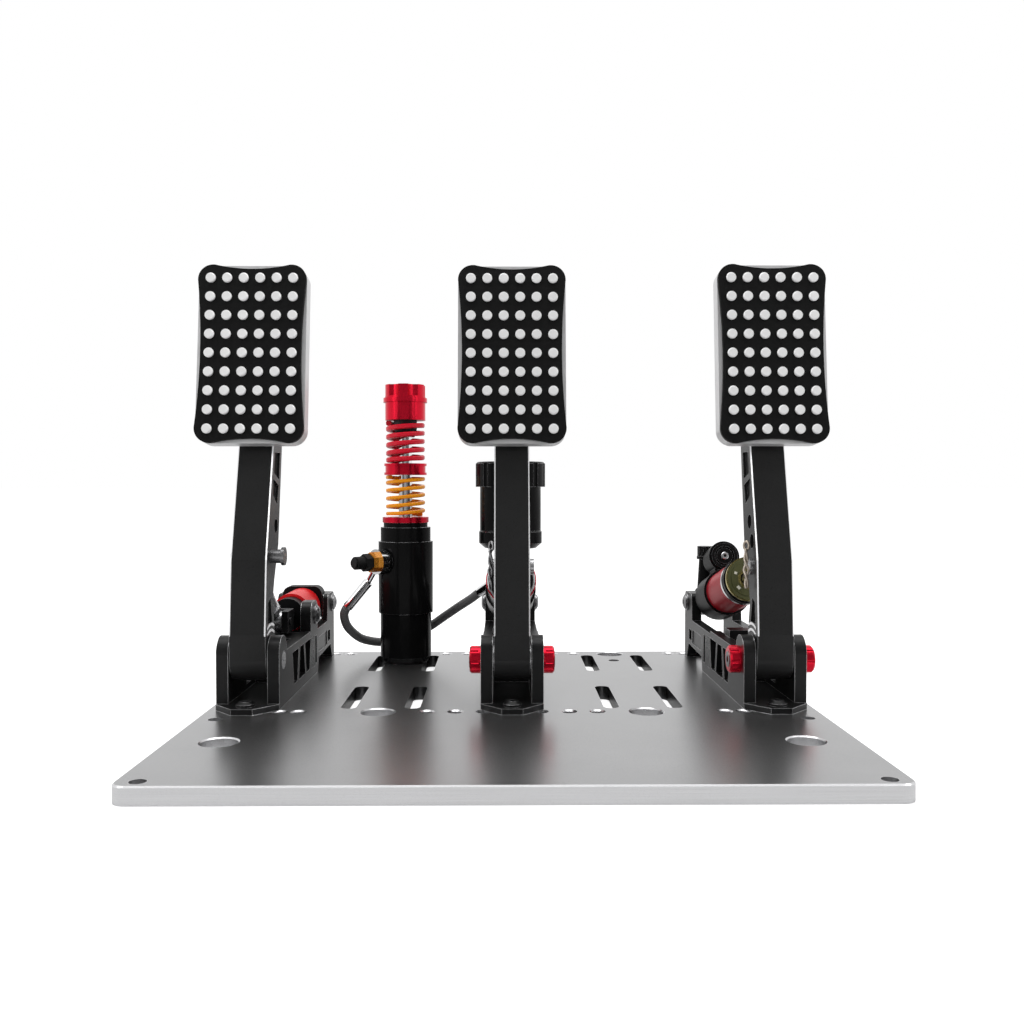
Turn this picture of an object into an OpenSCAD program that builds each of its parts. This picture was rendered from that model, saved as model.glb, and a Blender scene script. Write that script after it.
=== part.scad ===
// Floor pedal set for a driving simulator: clutch, brake and throttle on one base plate.
// Millimetres. Origin at the middle of the plate's underside, X right, Y away from the driver, Z up.
// Heights named *_z are above the plate's top face.

/* [Base plate] */
// Width of the plate, across the pedals
plate_w = 405; // [400:1:440]
// Depth of the plate, front to back
plate_d = 390; // [388:1:430]
// Thickness of the plate
plate_t = 10; // [6:0.5:16]
// Corner radius of the plate
plate_corner_r = 8; // [3:0.5:12]
// Chamfer round the plate's top edge
plate_chamfer = 0.8; // [0.4:0.1:2]
// Diameter of the bolt holes at the plate's edge
mount_hole_d = 9; // [6:0.5:10]
// Spacing of the corner holes along X
corner_hole_x = 380; // [370:1:384]
// Spacing of the corner holes along Y
corner_hole_y = 374; // [366:1:376]
// Spacing of the mid-edge holes along X
mid_hole_x = 379; // [370:1:384]
// Y place of the mid-edge holes
mid_hole_y = -57; // [-65:1:-50]
// Diameter of the large drain holes
drain_d = 22; // [14:1:24]
// Width of the long slots
slot_w = 10.5; // [6:0.5:12]
// Length of the long slots
slot_l = 72; // [50:1:90]
// Y place of the front slots
slot_front_y = 8; // [4:1:12]
// Y place of the rear slots
slot_rear_y = 139; // [134:1:142]
// X place of the inner slots
slot_inner_x = 67; // [64:1:70]
// X place of the outer slots
slot_outer_x = 110; // [107:1:114]
// Diameter of the two rows of adjustment holes
row_hole_d = 8.8; // [8.6:0.1:9.4]

/* [Pedal places] */
// Distance from the brake to the clutch and to the throttle
pedal_pitch = 175.5; // [172:0.5:178]
// Pivot place along Y
pivot_y = -17.5; // [-19:0.5:-16]
// Pivot height
pivot_z = 31; // [30:0.5:33]
// Backward lean of the clutch arm at rest
clutch_lean = 0; // [0:0.5:3]
// Backward lean of the brake arm at rest
brake_lean = 0; // [-1:0.5:2]
// Backward lean of the throttle arm at rest
throttle_lean = -1; // [-2:0.5:1]

/* [Chassis] */
// Width over the two rails
chassis_w = 42; // [41:0.5:44]
// Gap between the rails
rail_gap = 26; // [25.8:0.1:27]
// Height of the rails' front stretch
rail_h = 36.5; // [35:0.5:38]
// Height of the rear posts
post_h = 57; // [54:0.5:60]
// Thickness of the chassis floor, the toe and the rear lug
floor_t = 4; // [3.5:0.5:7]
// Radius of the ears round the pivot
ear_r = 11.5; // [10:0.5:13]
// Y place of the bolts in the toe
toe_bolt_y = -37; // [-39:0.5:-36]
// Y place of the bolts in the rear lug
lug_bolt_y = 184; // [183:0.5:185]
// Y place of the rear bolt that carries each unit
rear_bolt_y = 168; // [164:0.5:169]
// Height of that rear bolt
rear_bolt_z = 48; // [46:0.5:48]

/* [Fasteners and pivots] */
// Diameter of the chassis bolts
bolt_d = 8; // [6:0.5:8]
// Diameter of the button heads
bolt_head_d = 12.5; // [11:0.5:14]
// Height of the button heads
bolt_head_h = 3.4; // [3:0.2:6]
// Diameter of the pivot axles
axle_d = 12; // [10:0.5:12]
// Diameter of the red axle caps
axle_cap_d = 18.5; // [15:0.5:20]
// How far an axle cap stands out
axle_cap_h = 7.6; // [4:0.1:8]
// Diameter of the pins that join the rods to the arms
pin_d = 6; // [5:0.5:6.5]
// Running clearance of axles, pins and rods in their bores
run_gap = 0.05; // [0.03:0.01:0.1]
// Side clearance between pieces that slide past each other
side_gap = 0.2; // [0.15:0.05:0.4]

/* [Pedal arms] */
// Width of the arms
arm_w = 24; // [22:0.5:24]
// Radius of the arm's hub
hub_r = 13.5; // [12:0.5:14]
// Height of the arm's top
arm_top_z = 222; // [218:1:226]
// Outer diameter of the pivot bushes
bush_d = 16; // [15:0.5:18]
// Diameter of the bush flanges
bush_flange_d = 21; // [19:0.5:23]
// Width of the slot for the rod end
fork_w = 10.4; // [9:0.2:11]
// Chamfer along the arm's front edges
arm_chamfer = 1; // [0.6:0.1:2]
// Depth of the pockets in the arm's sides
pocket_depth = 2; // [1:0.2:3]
// Diameter of the lightening holes in the arms
arm_hole_d = 10; // [6:0.5:10]

/* [Pads] */
// Width of a pad at its corners
pad_w = 73; // [66:1:80]
// Height of a pad at its corners
pad_h = 122; // [112:1:128]
// Thickness of the backing plate
pad_back_t = 12; // [8:0.5:14]
// Thickness of the black face
pad_face_t = 3; // [2:0.5:4]
// How far each side of the face draws in at its middle
pad_side_waist = 2.8; // [1:0.1:4]
// How far the face's top and bottom draw in at their middle
pad_end_waist = 3; // [1:0.1:5]
// Corner radius of the pads
pad_corner_r = 10; // [6:0.5:14]
// Tilt of the pads, top away from the driver
pad_tilt = 7; // [4:0.5:10]
// Height of the middle of the pads
pad_z = 238; // [234:1:242]
// Y place of the middle of the pad's front
pad_y = -18; // [-20:0.5:-17]
// Diameter of the grip studs
stud_d = 6.6; // [4:0.1:8]
// How far the studs stand out
stud_h = 1.8; // [1:0.1:3]
// Spacing of the stud columns
stud_pitch_x = 11.1; // [9:0.1:11.6]
// Spacing of the stud rows
stud_pitch_y = 12.9; // [9:0.05:13]
// Number of stud columns
stud_columns = 6; // [3:1:6]
// Number of stud rows
stud_rows = 9; // [4:1:9]

/* [Rods and cans] */
// Diameter of the rods
rod_d = 10; // [8:0.5:10]
// Radius of the rod eyes on the arm pins
rod_eye_r = 7.5; // [7:0.1:7.8]
// Diameter of the brake cylinder
brake_can_d = 36; // [33:0.5:37]
// Diameter of the throttle damper
throttle_can_d = 34; // [29:0.5:34.5]
// Wall of the brake cylinder and the throttle damper
can_wall = 3; // [2:0.5:4]
// Distance from the arm pin to the front of a can
can_start = 62; // [60:0.5:66]
// Length of a can
can_l = 92; // [86:1:93]
// Wall of a cradle round its can
cradle_wall = 2; // [1.5:0.1:2.4]
// Play of a rod in its gland, which takes up the rod's small swing
gland_play = 0.8; // [0.7:0.1:1.2]
// Diameter of the throttle's piggyback cylinder
piggyback_d = 25; // [20:0.5:26]
// Length of the piggyback cylinder
piggyback_l = 26; // [20:0.5:28]
// Diameter of the damper knob
knob_d = 14; // [10:0.5:15]
// Height of the damper knob
knob_h = 11; // [8:0.5:14]

/* [Clutch spring can] */
// Height of the clutch can's axis
clutch_axis_z = 47.5; // [47:0.5:48]
// Diameter of the clutch can
clutch_can_d = 30; // [28:0.5:30.5]
// Y place of the crosshead pin at rest
crosshead_y = 52; // [51:0.5:53]
// Y place of the can's front end
clutch_can_y = 103; // [102.5:0.5:104]
// Length of the clutch can
clutch_can_l = 53; // [50:0.5:54]
// Play of the link's rear eye on the crosshead pin
link_play = 1.1; // [1:0.05:1.3]

/* [Reservoir] */
// Y place of the reservoir
reservoir_y = 110; // [108:0.5:114]
// Diameter of the reservoir body
reservoir_d = 49; // [44:0.5:50]
// Height of the reservoir's underside
reservoir_z = 99; // [97:0.5:102]
// Height of the reservoir body
reservoir_h = 60; // [50:1:64]
// Diameter of the reservoir cap
reservoir_cap_d = 56; // [54:0.5:60]
// Height of the reservoir cap
reservoir_cap_h = 20; // [15:0.5:22]
// Number of grip notches in the reservoir cap
cap_notches = 12; // [6:1:20]

/* [Spring unit] */
// X place of the spring unit
spring_unit_x = -88.5; // [-90:0.5:-87]
// Y place of the spring unit
spring_unit_y = 150; // [148:0.5:152]
// Diameter of the lower body
unit_body_d = 42.8; // [41:0.2:44]
// Height of the lower body
unit_body_h = 42; // [38:0.5:46]
// Diameter of the sleeve
unit_sleeve_d = 45.8; // [45:0.2:48]
// Height of the sleeve
unit_sleeve_h = 60; // [56:0.5:64]
// Bore of the spring unit
unit_bore_d = 30; // [26:0.5:32]
// Diameter of the chrome rod
unit_rod_d = 11.5; // [9:0.5:13]
// Diameter of the black gland collar
unit_gland_d = 42; // [39:0.5:44]
// Height of the black gland collar
unit_gland_h = 16; // [13:0.5:18]
// Diameter of the red spring seat
seat_d = 38.8; // [37:0.2:41]
// Height of the red spring seat
seat_h = 4.5; // [3:0.5:7]
// Outer diameter of the lower spring
lower_spring_d = 33; // [30:0.5:35]
// Free height of the lower spring
lower_spring_h = 35.5; // [33:0.5:40]
// Number of curls in the lower spring
lower_curls = 5; // [3:0.5:6]
// Wire diameter of the lower spring
lower_wire_d = 3.4; // [2.4:0.1:3.8]
// Diameter of the mid collar
mid_collar_d = 35.8; // [34:0.2:38]
// Height of the mid collar
mid_collar_h = 9.6; // [7:0.2:12]
// Outer diameter of the upper spring
upper_spring_d = 32.6; // [30:0.2:34]
// Free height of the upper spring
upper_spring_h = 36.4; // [34:0.2:42]
// Number of curls in the upper spring
upper_curls = 4.5; // [3:0.5:5]
// Wire diameter of the upper spring
upper_wire_d = 4.4; // [3:0.1:4.8]
// Height of the cap, without its knob
unit_cap_h = 18.6; // [16:0.2:22]
// Diameter of the fluted knob on the cap
unit_knob_d = 34; // [31:0.5:36]
// Height of the fluted knob
unit_knob_h = 11; // [8:0.5:14]
// Travel of the rod
unit_rod_travel = 10; // [6:0.5:10]
// Height of the hydraulic port
port_z = 86; // [80:0.5:90]
// Turn of the hydraulic port from the -X direction
port_turn = 45; // [35:1:50]

/* [Hose] */
// Outer diameter of the hydraulic hose
hose_d = 7.4; // [6:0.2:7.4]

/* [Hidden] */
$fn = 48;

clutch_x = -pedal_pitch;
brake_x = 0;
throttle_x = pedal_pitch;
pedal_places = [clutch_x, brake_x, throttle_x];
black = [0.09, 0.09, 0.1];
red = [0.72, 0.08, 0.07];
silver = [0.78, 0.78, 0.8];
orange = [0.95, 0.35, 0.06];

rail_t = (chassis_w - rail_gap) / 2;
rail_mid_x = (chassis_w + rail_gap) / 4;
ear_y = pivot_y - 2;
ear_z = pivot_z + 5.5;
chassis_front_y = ear_y - ear_r;
post_front_y = 142;
post_back_y = rear_bolt_y + 10;
tab_top_z = clutch_axis_z + 11;
tab_bolt_y = clutch_can_y - 9;
tongue_w = rail_gap - 2 * side_gap;
pivot = [pivot_y, pivot_z];

// A place (Y, Z) on an unleaned arm, turned about the pivot by the arm's lean.
function leaned(place, lean) = [
    pivot_y + (place[0] - pivot_y) * cos(lean) + (place[1] - pivot_z) * sin(lean),
    pivot_z + (place[1] - pivot_z) * cos(lean) - (place[0] - pivot_y) * sin(lean)
];
clutch_pin_place = [-14, 101];
rod_pin_place = [-11.5, 93.5];
clutch_pin_at = leaned(clutch_pin_place, clutch_lean);
brake_pin_at = leaned(rod_pin_place, brake_lean);
throttle_pin_at = leaned(rod_pin_place, throttle_lean);
// Downward slope of the line from an arm pin to the rear bolt.
function unit_slope(pin_at) = atan2(pin_at[1] - rear_bolt_z, rear_bolt_y - pin_at[0]);
function unit_length(pin_at) = norm([rear_bolt_y - pin_at[0], pin_at[1] - rear_bolt_z]);

// Moves a pedal's own frame (X 0 at the pedal, Z 0 on the plate's top) to its place.
module at_pedal(x) {
    translate([x, 0, plate_t]) children();
}

// Extrudes a side outline drawn in (Y, Z) across X, centred.
module side_plate(width) {
    rotate([90, 0, 90]) translate([0, 0, -width / 2]) linear_extrude(width) children();
}

// Turns what is drawn about the pivot by an arm's lean.
module lean(angle) {
    translate([0, pivot_y, pivot_z]) rotate([-angle, 0, 0]) translate([0, -pivot_y, -pivot_z]) children();
}

// Frame of a strut unit: origin at its arm pin, Y along the unit towards its rear bolt.
module along_unit(pin_at) {
    translate([0, pin_at[0], pin_at[1]]) rotate([-unit_slope(pin_at), 0, 0]) children();
}

// Cylinder or tube along Y, from y to y + length.
module rod_y(diameter, y, length) {
    translate([0, y, 0]) rotate([-90, 0, 0]) cylinder(d = diameter, h = length);
}

module tube_y(diameter, bore, y, length) {
    difference() {
        rod_y(diameter, y, length);
        rod_y(bore, y - 1, length + 2);
    }
}

// Cylinder along X, centred on x.
module rod_x(diameter, x, length) {
    translate([x - length / 2, 0, 0]) rotate([0, 90, 0]) cylinder(d = diameter, h = length);
}

module rounded_rectangle(w, h, r) {
    square([w - 2 * r, h], center = true);
    square([w, h - 2 * r], center = true);
    for (x = [-1, 1], y = [-1, 1]) translate([x * (w / 2 - r), y * (h / 2 - r)]) circle(r);
}

// Button head bolt: head on z = 0, shank below, hexagon socket.
module button_bolt(shank_l, head_h = bolt_head_h) {
    dome_h = head_h * 0.55;
    difference() {
        union() {
            cylinder(d = bolt_head_d, h = head_h - dome_h);
            translate([0, 0, head_h - dome_h])
                cylinder(d1 = bolt_head_d, d2 = bolt_head_d * 0.62, h = dome_h);
            translate([0, 0, -shank_l]) cylinder(d = bolt_d, h = shank_l + 0.5);
        }
        translate([0, 0, head_h * 0.4]) cylinder(d = bolt_d * 0.66, h = head_h, $fn = 6);
    }
}

// Base plate

row_places = concat([for (i = [-3:3]) i * 18.75], [for (side = [-1, 1], x = [140.5, 153, 165.5]) side * x],
                    [clutch_x, throttle_x]);

// Depth of the countersink on the row holes
row_sink = 1;

module chamfer_cutters(w, d, r, c) {
    triangle = [[-c, 0.01], [0.01, 0.01], [0.01, -c]];
    for (side = [0, 180]) rotate([0, 0, side]) {
        translate([w / 2, d / 2 - r, 0]) rotate([90, 0, 0]) linear_extrude(d - 2 * r) polygon(triangle);
        translate([w / 2 - r, d / 2, 0]) rotate([90, 0, 90]) mirror([0, 0, 1]) linear_extrude(w - 2 * r)
            polygon(triangle);
    }
    for (x = [-1, 1], y = [-1, 1]) translate([x * (w / 2 - r), y * (d / 2 - r), 0])
        rotate([0, 0, atan2(y, x) - 45]) rotate_extrude(angle = 90) translate([r, 0]) polygon(triangle);
}

module through_hole(x, y, d) {
    translate([x, y, -1]) cylinder(d = d, h = plate_t + 2);
}

module base_plate() color(black) difference() {
    linear_extrude(plate_t) rounded_rectangle(plate_w, plate_d, plate_corner_r);
    translate([0, 0, plate_t]) chamfer_cutters(plate_w, plate_d, plate_corner_r, plate_chamfer);
    for (x = [-1, 1], y = [-1, 1]) through_hole(x * corner_hole_x / 2, y * corner_hole_y / 2, mount_hole_d);
    for (side = [-1, 1]) {
        through_hole(side * mid_hole_x / 2, mid_hole_y, mount_hole_d);
        through_hole(side * spring_unit_x, spring_unit_y, mount_hole_d);
        for (place = [[171, -112], [88.5, -38], [88.5, 182]]) {
            through_hole(side * place[0], place[1], drain_d);
            translate([side * place[0], place[1], plate_t - plate_chamfer])
                cylinder(d1 = drain_d, d2 = drain_d + 2.4 * plate_chamfer, h = 1.2 * plate_chamfer);
        }
        for (x = [slot_inner_x, slot_outer_x], y = [slot_front_y, slot_rear_y])
            translate([side * x, y, -1]) linear_extrude(plate_t + 2)
                rounded_rectangle(slot_w, slot_l, slot_w / 2 - 0.01);
    }
    for (x = row_places, y = [toe_bolt_y, lug_bolt_y]) {
        through_hole(x, y, row_hole_d);
        translate([x, y, plate_t - row_sink])
            cylinder(d1 = row_hole_d, d2 = row_hole_d + 2.2 * row_sink, h = 1.1 * row_sink);
    }
}

// Chassis

module rail_outline() {
    translate([ear_y, ear_z]) circle(ear_r);
    translate([chassis_front_y, 0]) square([2 * ear_r, ear_z]);
    translate([chassis_front_y, 0]) square([74 - chassis_front_y, rail_h]);
    translate([70, 0]) square([post_front_y - 66, rail_h - 2]);
    polygon([[post_front_y, 0], [post_front_y + 6, post_h - 5], [post_front_y + 11, post_h],
             [post_back_y - 5, post_h], [post_back_y, post_h - 5], [post_back_y, 0]]);
    translate([post_front_y + 11, post_h - 5]) circle(5);
    translate([post_back_y - 5, post_h - 5]) circle(5);
}

module rail_windows() {
    polygon([[10, 31], [31, 31], [26, 8], [15, 8]]);
    polygon([[36, 31], [49, 31], [54, 8], [31, 8]]);
    polygon([[53, 31], [75, 31], [70, 8], [58, 8]]);
    translate([93, 8]) square([6, 22]);
    translate([148, 17]) square([11, 9]);
    polygon([[103, -1], [107, 11], [161, 13], [170, -1]]);
}

// Arched tabs on the clutch rails that carry the front block.
module tab_outline() {
    half = 13.5;
    mid_y = tab_bolt_y - 5;
    translate([mid_y - half, 0]) square([2 * half, tab_top_z - 8]);
    translate([mid_y - half + 8, 0]) square([2 * half - 16, tab_top_z]);
    for (side = [-1, 1]) translate([mid_y + side * (half - 8), tab_top_z - 8]) circle(8);
}

module floor_outline() {
    nose_w = 18;
    nose_y = toe_bolt_y - 10;
    polygon([[-chassis_w / 2, chassis_front_y - 1], [-nose_w / 2, nose_y + 2], [-nose_w / 2 + 2, nose_y],
             [nose_w / 2 - 2, nose_y], [nose_w / 2, nose_y + 2], [chassis_w / 2, chassis_front_y - 1]]);
    translate([-chassis_w / 2, chassis_front_y - 1]) square([chassis_w, 103 - chassis_front_y + 1]);
    translate([-chassis_w / 2, 168]) square([chassis_w, post_back_y - 168]);
    translate([-nose_w / 2, 168]) square([nose_w, lug_bolt_y - 168]);
    translate([0, lug_bolt_y - 2]) circle(nose_w / 2 - 1);
}

module chassis(cross_h, with_tabs) {
    difference() {
        union() {
            for (side = [-1, 1]) translate([side * rail_mid_x, 0, 0]) side_plate(rail_t) difference() {
                union() {
                    rail_outline();
                    if (with_tabs) tab_outline();
                }
                rail_windows();
            }
            linear_extrude(floor_t) floor_outline();
            translate([-rail_gap / 2 - 1, 40, 0]) cube([rail_gap + 2, 14, cross_h]);
            // ledge behind the cross block, and the wall that closes the rear end
            if (with_tabs) {
                translate([-rail_gap / 2 - 1, 52, rail_h - 9]) cube([rail_gap + 2, 20, 9]);
                translate([-rail_gap / 2 - 1, post_back_y - 9, 0]) cube([rail_gap + 2, 8, rail_h - 4]);
            }
        }
        translate([0, pivot_y, pivot_z]) rod_x(axle_d + 2 * run_gap, 0, chassis_w + 2);
        translate([0, rear_bolt_y, rear_bolt_z]) rod_x(bolt_d + 2 * run_gap, 0, chassis_w + 2);
        if (with_tabs) {
            translate([0, tab_bolt_y, clutch_axis_z]) rod_x(bolt_d + 2 * run_gap, 0, chassis_w + 2);
            // room for the rear block between the posts
            translate([-rear_block_w / 2 - 0.5, post_front_y - 4, rail_h - 2])
                cube([rear_block_w + 1, clutch_can_y + clutch_can_l + 5 - post_front_y + 4, post_h]);
        }
        for (y = [toe_bolt_y, lug_bolt_y]) translate([0, y, -1])
            cylinder(d = bolt_d + 2 * run_gap, h = floor_t + 2);
        // ribbed grip panels and bare shallow panels on the outer faces
        for (side = [-1, 1]) {
            for (i = [0:4]) translate([side * chassis_w / 2 - 0.8, 77 + 3 * i, 7]) cube([1.6, 1.6, 24]);
            translate([side * chassis_w / 2, 126, 21]) side_plate(1.6) rounded_rectangle(38, 12, 2);
        }
    }
}

cross_h = 42;
module clutch_chassis() color(black) at_pedal(clutch_x) chassis(rail_h, true);
module brake_chassis() color(black) at_pedal(brake_x) chassis(cross_h, false);
module throttle_chassis() color(black) at_pedal(throttle_x) chassis(cross_h, false);

module chassis_bolts() color(silver) {
    for (x = pedal_places, y = [toe_bolt_y, lug_bolt_y])
        translate([x, y, plate_t + floor_t]) button_bolt(floor_t + plate_t - 1);
    // bolt from below into the foot of the spring unit
    translate([spring_unit_x, spring_unit_y, 1]) cylinder(d = bolt_d, h = plate_t + 9);
}

module pivot_axles() color(silver) for (x = pedal_places) at_pedal(x)
    translate([0, pivot_y, pivot_z]) rod_x(axle_d, 0, chassis_w);

// Fluted red caps on the axle ends of the brake and the throttle.
module axle_cap() {
    cone_h = 1.2;
    difference() {
        union() {
            cylinder(d = axle_cap_d, h = axle_cap_h - cone_h);
            translate([0, 0, axle_cap_h - cone_h])
                cylinder(d1 = axle_cap_d, d2 = axle_cap_d - 2 * cone_h, h = cone_h);
        }
        translate([0, 0, axle_cap_h - 2.5]) cylinder(d = axle_cap_d * 0.4, h = 3, $fn = 6);
        for (i = [0:7]) rotate([0, 0, 45 * i]) translate([axle_cap_d / 2 + 0.9, 0, 1.5])
            cylinder(d = 3.2, h = axle_cap_h);
    }
}

module axle_caps() color(red) for (x = [brake_x, throttle_x]) at_pedal(x)
    translate([0, pivot_y, pivot_z]) for (side = [0, 180]) rotate([0, 0, side])
        translate([chassis_w / 2, 0, 0]) rotate([0, 90, 0]) axle_cap();

// Bolts and washers of the rear posts, and of the clutch's mid tabs.
module side_bolt(length) {
    washer_t = 1.2;
    flat_head_h = bolt_head_h * 0.7;
    rotate([0, 90, 0]) {
        cylinder(d = bolt_head_d + 3, h = washer_t);
        translate([0, 0, washer_t]) button_bolt(length + washer_t, flat_head_h);
    }
}

module unit_bolts() color(silver) {
    screw_l = rail_t + 4;
    for (x = pedal_places) at_pedal(x) translate([0, rear_bolt_y, rear_bolt_z]) for (side = [0, 180])
        rotate([0, 0, side]) translate([chassis_w / 2, 0, 0]) side_bolt(chassis_w / 2 - 0.5);
    at_pedal(clutch_x) translate([0, tab_bolt_y, clutch_axis_z]) for (side = [0, 180])
        rotate([0, 0, side]) translate([chassis_w / 2, 0, 0]) side_bolt(screw_l);
}

// Pedal arms and pads

hub_join_z = pivot_z - 2;
hub_join_r = hub_r - 0.3;
arm_front = [[pivot_y - hub_join_r, hub_join_z], [-32, 50], [-27, 99.5], [-5.6, 174], [8.2, arm_top_z]];
arm_back = [[28, arm_top_z], [20, 173], [7.6, 108], [-5, 84], [-10, 70], [-6, 52],
            [pivot_y + hub_join_r, hub_join_z]];
gusset_z = 185;

// Arm with its hub and the gusset that carries the pad.
module arm_blank() {
    side_plate(arm_w) polygon(concat(arm_front, arm_back));
    translate([0, pivot_y, pivot_z]) rod_x(2 * hub_r, 0, arm_w);
    side_plate(arm_w) polygon([[pad_back_y(gusset_z), gusset_z], [0, gusset_z], [14, arm_top_z],
                               [pad_back_y(arm_top_z), arm_top_z]]);
}

// Y of the back of the pad's plate at height z.
function pad_back_y(z) = pad_y + (pad_face_t + pad_back_t) / cos(pad_tilt) + (z - pad_z) * tan(pad_tilt);

// Cutter for the chamfer along one front edge of the arm, from a to b in (Y, Z).
module front_edge_cutter(a, b, side) {
    c = arm_chamfer;
    length = norm(b - a);
    translate([side * arm_w / 2, a[0], a[1]]) rotate([-atan2(b[0] - a[0], b[1] - a[1]), 0, 0])
        translate([0, 0, -1]) linear_extrude(length + 2)
            polygon([[-side * c, -0.2], [side * 0.2, -0.2], [side * 0.2, c]]);
}

module arm_pockets() {
    polygon([[-1, 172], [15, 172], [11, 153], [-5, 158]]);
    polygon([[-6, 154], [10, 149], [5, 136], [-9, 143]]);
    polygon([[-25, 56], [-12, 56], [-16, 73], [-23, 70]]);
}

module arm(pin_place, fork_low, hole_places) difference() {
    union() arm_blank();
    for (side = [-1, 1]) {
        for (i = [1:3]) front_edge_cutter(arm_front[i], arm_front[i + 1], side);
        translate([side * (arm_w / 2), 0, 0]) side_plate(2 * pocket_depth) arm_pockets();
    }
    // slot for the rod end, open at the back
    translate([-fork_w / 2, pin_place[0] - rod_eye_r - 0.6, pin_place[1] - fork_low])
        cube([fork_w, 60, fork_low + rod_eye_r + 0.8]);
    translate([0, pin_place[0], pin_place[1]]) rod_x(pin_d, 0, arm_w + 2);
    translate([0, pivot_y, pivot_z]) rod_x(bush_d, 0, arm_w + 2);
    for (place = hole_places) translate([0, place[0], place[1]]) rod_x(arm_hole_d, 0, arm_w + 2);
}

module clutch_arm() color(black) at_pedal(clutch_x) lean(clutch_lean)
    arm(clutch_pin_place, 27, [[1, 121]]);
module brake_arm() color(black) at_pedal(brake_x) lean(brake_lean) arm(rod_pin_place, 14, [[1, 121]]);
module throttle_arm() color(black) at_pedal(throttle_x) lean(throttle_lean)
    arm(rod_pin_place, 14, [[-13, 111], [-6, 124]]);

// Frame of a pad: origin at the middle of the face's front, Y into the pad.
module at_pad() {
    translate([0, pad_y, pad_z]) rotate([-pad_tilt, 0, 0]) children();
}

module pad_slab(y, t) {
    translate([0, y, 0]) rotate([90, 0, 0]) translate([0, 0, -t]) linear_extrude(t) children();
}

module pad_back() at_pad() pad_slab(pad_face_t, pad_back_t) rounded_rectangle(pad_w, pad_h, pad_corner_r);

// Radius of the concave arc, tangent to the corner rounds, that draws an edge in by waist.
// along is the distance of the corner's centre from the middle of the edge.
function waist_radius(waist, along) =
    (along * along + pow(pad_corner_r - waist, 2) - pow(pad_corner_r, 2)) / (2 * waist);

module pad_face_outline() {
    side_r = waist_radius(pad_side_waist, pad_h / 2 - pad_corner_r);
    end_r = waist_radius(pad_end_waist, pad_w / 2 - pad_corner_r);
    difference() {
        rounded_rectangle(pad_w, pad_h, pad_corner_r);
        for (side = [-1, 1]) {
            translate([side * (pad_w / 2 - pad_side_waist + side_r), 0]) circle(side_r, $fn = 360);
            translate([0, side * (pad_h / 2 - pad_end_waist + end_r)]) circle(end_r, $fn = 360);
        }
    }
}

module pad_face() at_pad() pad_slab(0, pad_face_t) pad_face_outline();

module studs() {
    cone_h = stud_h / 3;
    at_pad() for (i = [0:stud_columns - 1], j = [0:stud_rows - 1])
        translate([(i - (stud_columns - 1) / 2) * stud_pitch_x, 0, (j - (stud_rows - 1) / 2) * stud_pitch_y])
            rotate([90, 0, 0]) {
                cylinder(d = stud_d, h = stud_h - cone_h);
                translate([0, 0, stud_h - cone_h])
                    cylinder(d1 = stud_d, d2 = stud_d - 2 * cone_h, h = cone_h);
            }
}

// Flanged bushes at both sides of the hub.
module bushes() translate([0, pivot_y, pivot_z]) for (side = [-1, 1]) difference() {
    flange_t = (rail_gap - arm_w) / 2 - side_gap;
    union() {
        rod_x(bush_d, side * (arm_w / 2 - 4), 8);
        rod_x(bush_flange_d, side * (arm_w + flange_t) / 2, flange_t);
    }
    rod_x(axle_d + 2 * run_gap, side * arm_w / 2, arm_w - 2);
}

module on_arm(x, angle) at_pedal(x) lean(angle) children();

module clutch_pad_back() color(silver) on_arm(clutch_x, clutch_lean) pad_back();
module brake_pad_back() color(silver) on_arm(brake_x, brake_lean) pad_back();
module throttle_pad_back() color(silver) on_arm(throttle_x, throttle_lean) pad_back();
module clutch_pad_face() color(black) on_arm(clutch_x, clutch_lean) pad_face();
module brake_pad_face() color(black) on_arm(brake_x, brake_lean) pad_face();
module throttle_pad_face() color(black) on_arm(throttle_x, throttle_lean) pad_face();
module clutch_studs() color(silver) on_arm(clutch_x, clutch_lean) studs();
module brake_studs() color(silver) on_arm(brake_x, brake_lean) studs();
module throttle_studs() color(silver) on_arm(throttle_x, throttle_lean) studs();
module clutch_bushes() color(silver) on_arm(clutch_x, clutch_lean) bushes();
module brake_bushes() color(silver) on_arm(brake_x, brake_lean) bushes();
module throttle_bushes() color(silver) on_arm(throttle_x, throttle_lean) bushes();

// Pins through the arms. The clutch pin has a spacer and a flat head on its inner side.
module clutch_pin() color(silver) at_pedal(clutch_x) lean(clutch_lean)
    translate([0, clutch_pin_place[0], clutch_pin_place[1]]) {
        rod_x(pin_d, 0, arm_w);
        rod_x(9.4, arm_w / 2 + 3.75, 7.5);
        rod_x(12.5, arm_w / 2 + 8.5, 2);
        rod_x(10, -arm_w / 2 - 1, 2);
    }

// Pin with fluted round heads on both sides.
module headed_pin(head_d, head_h) {
    rod_x(pin_d, 0, arm_w);
    for (side = [-1, 1]) difference() {
        rod_x(head_d, side * (arm_w + head_h) / 2, head_h);
        for (i = [0:11]) rotate([30 * i, 0, 0]) translate([0, 0, head_d / 2 + 0.35])
            rod_x(1.6, side * (arm_w + head_h) / 2, head_h + 2);
    }
}

module brake_pin() color(silver) at_pedal(brake_x) lean(brake_lean)
    translate([0, rod_pin_place[0], rod_pin_place[1]]) headed_pin(11, 3);
module throttle_pin() color(silver) at_pedal(throttle_x) lean(throttle_lean)
    translate([0, rod_pin_place[0], rod_pin_place[1]]) headed_pin(11, 1.6);

// Clutch link, plunger and spring can

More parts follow.
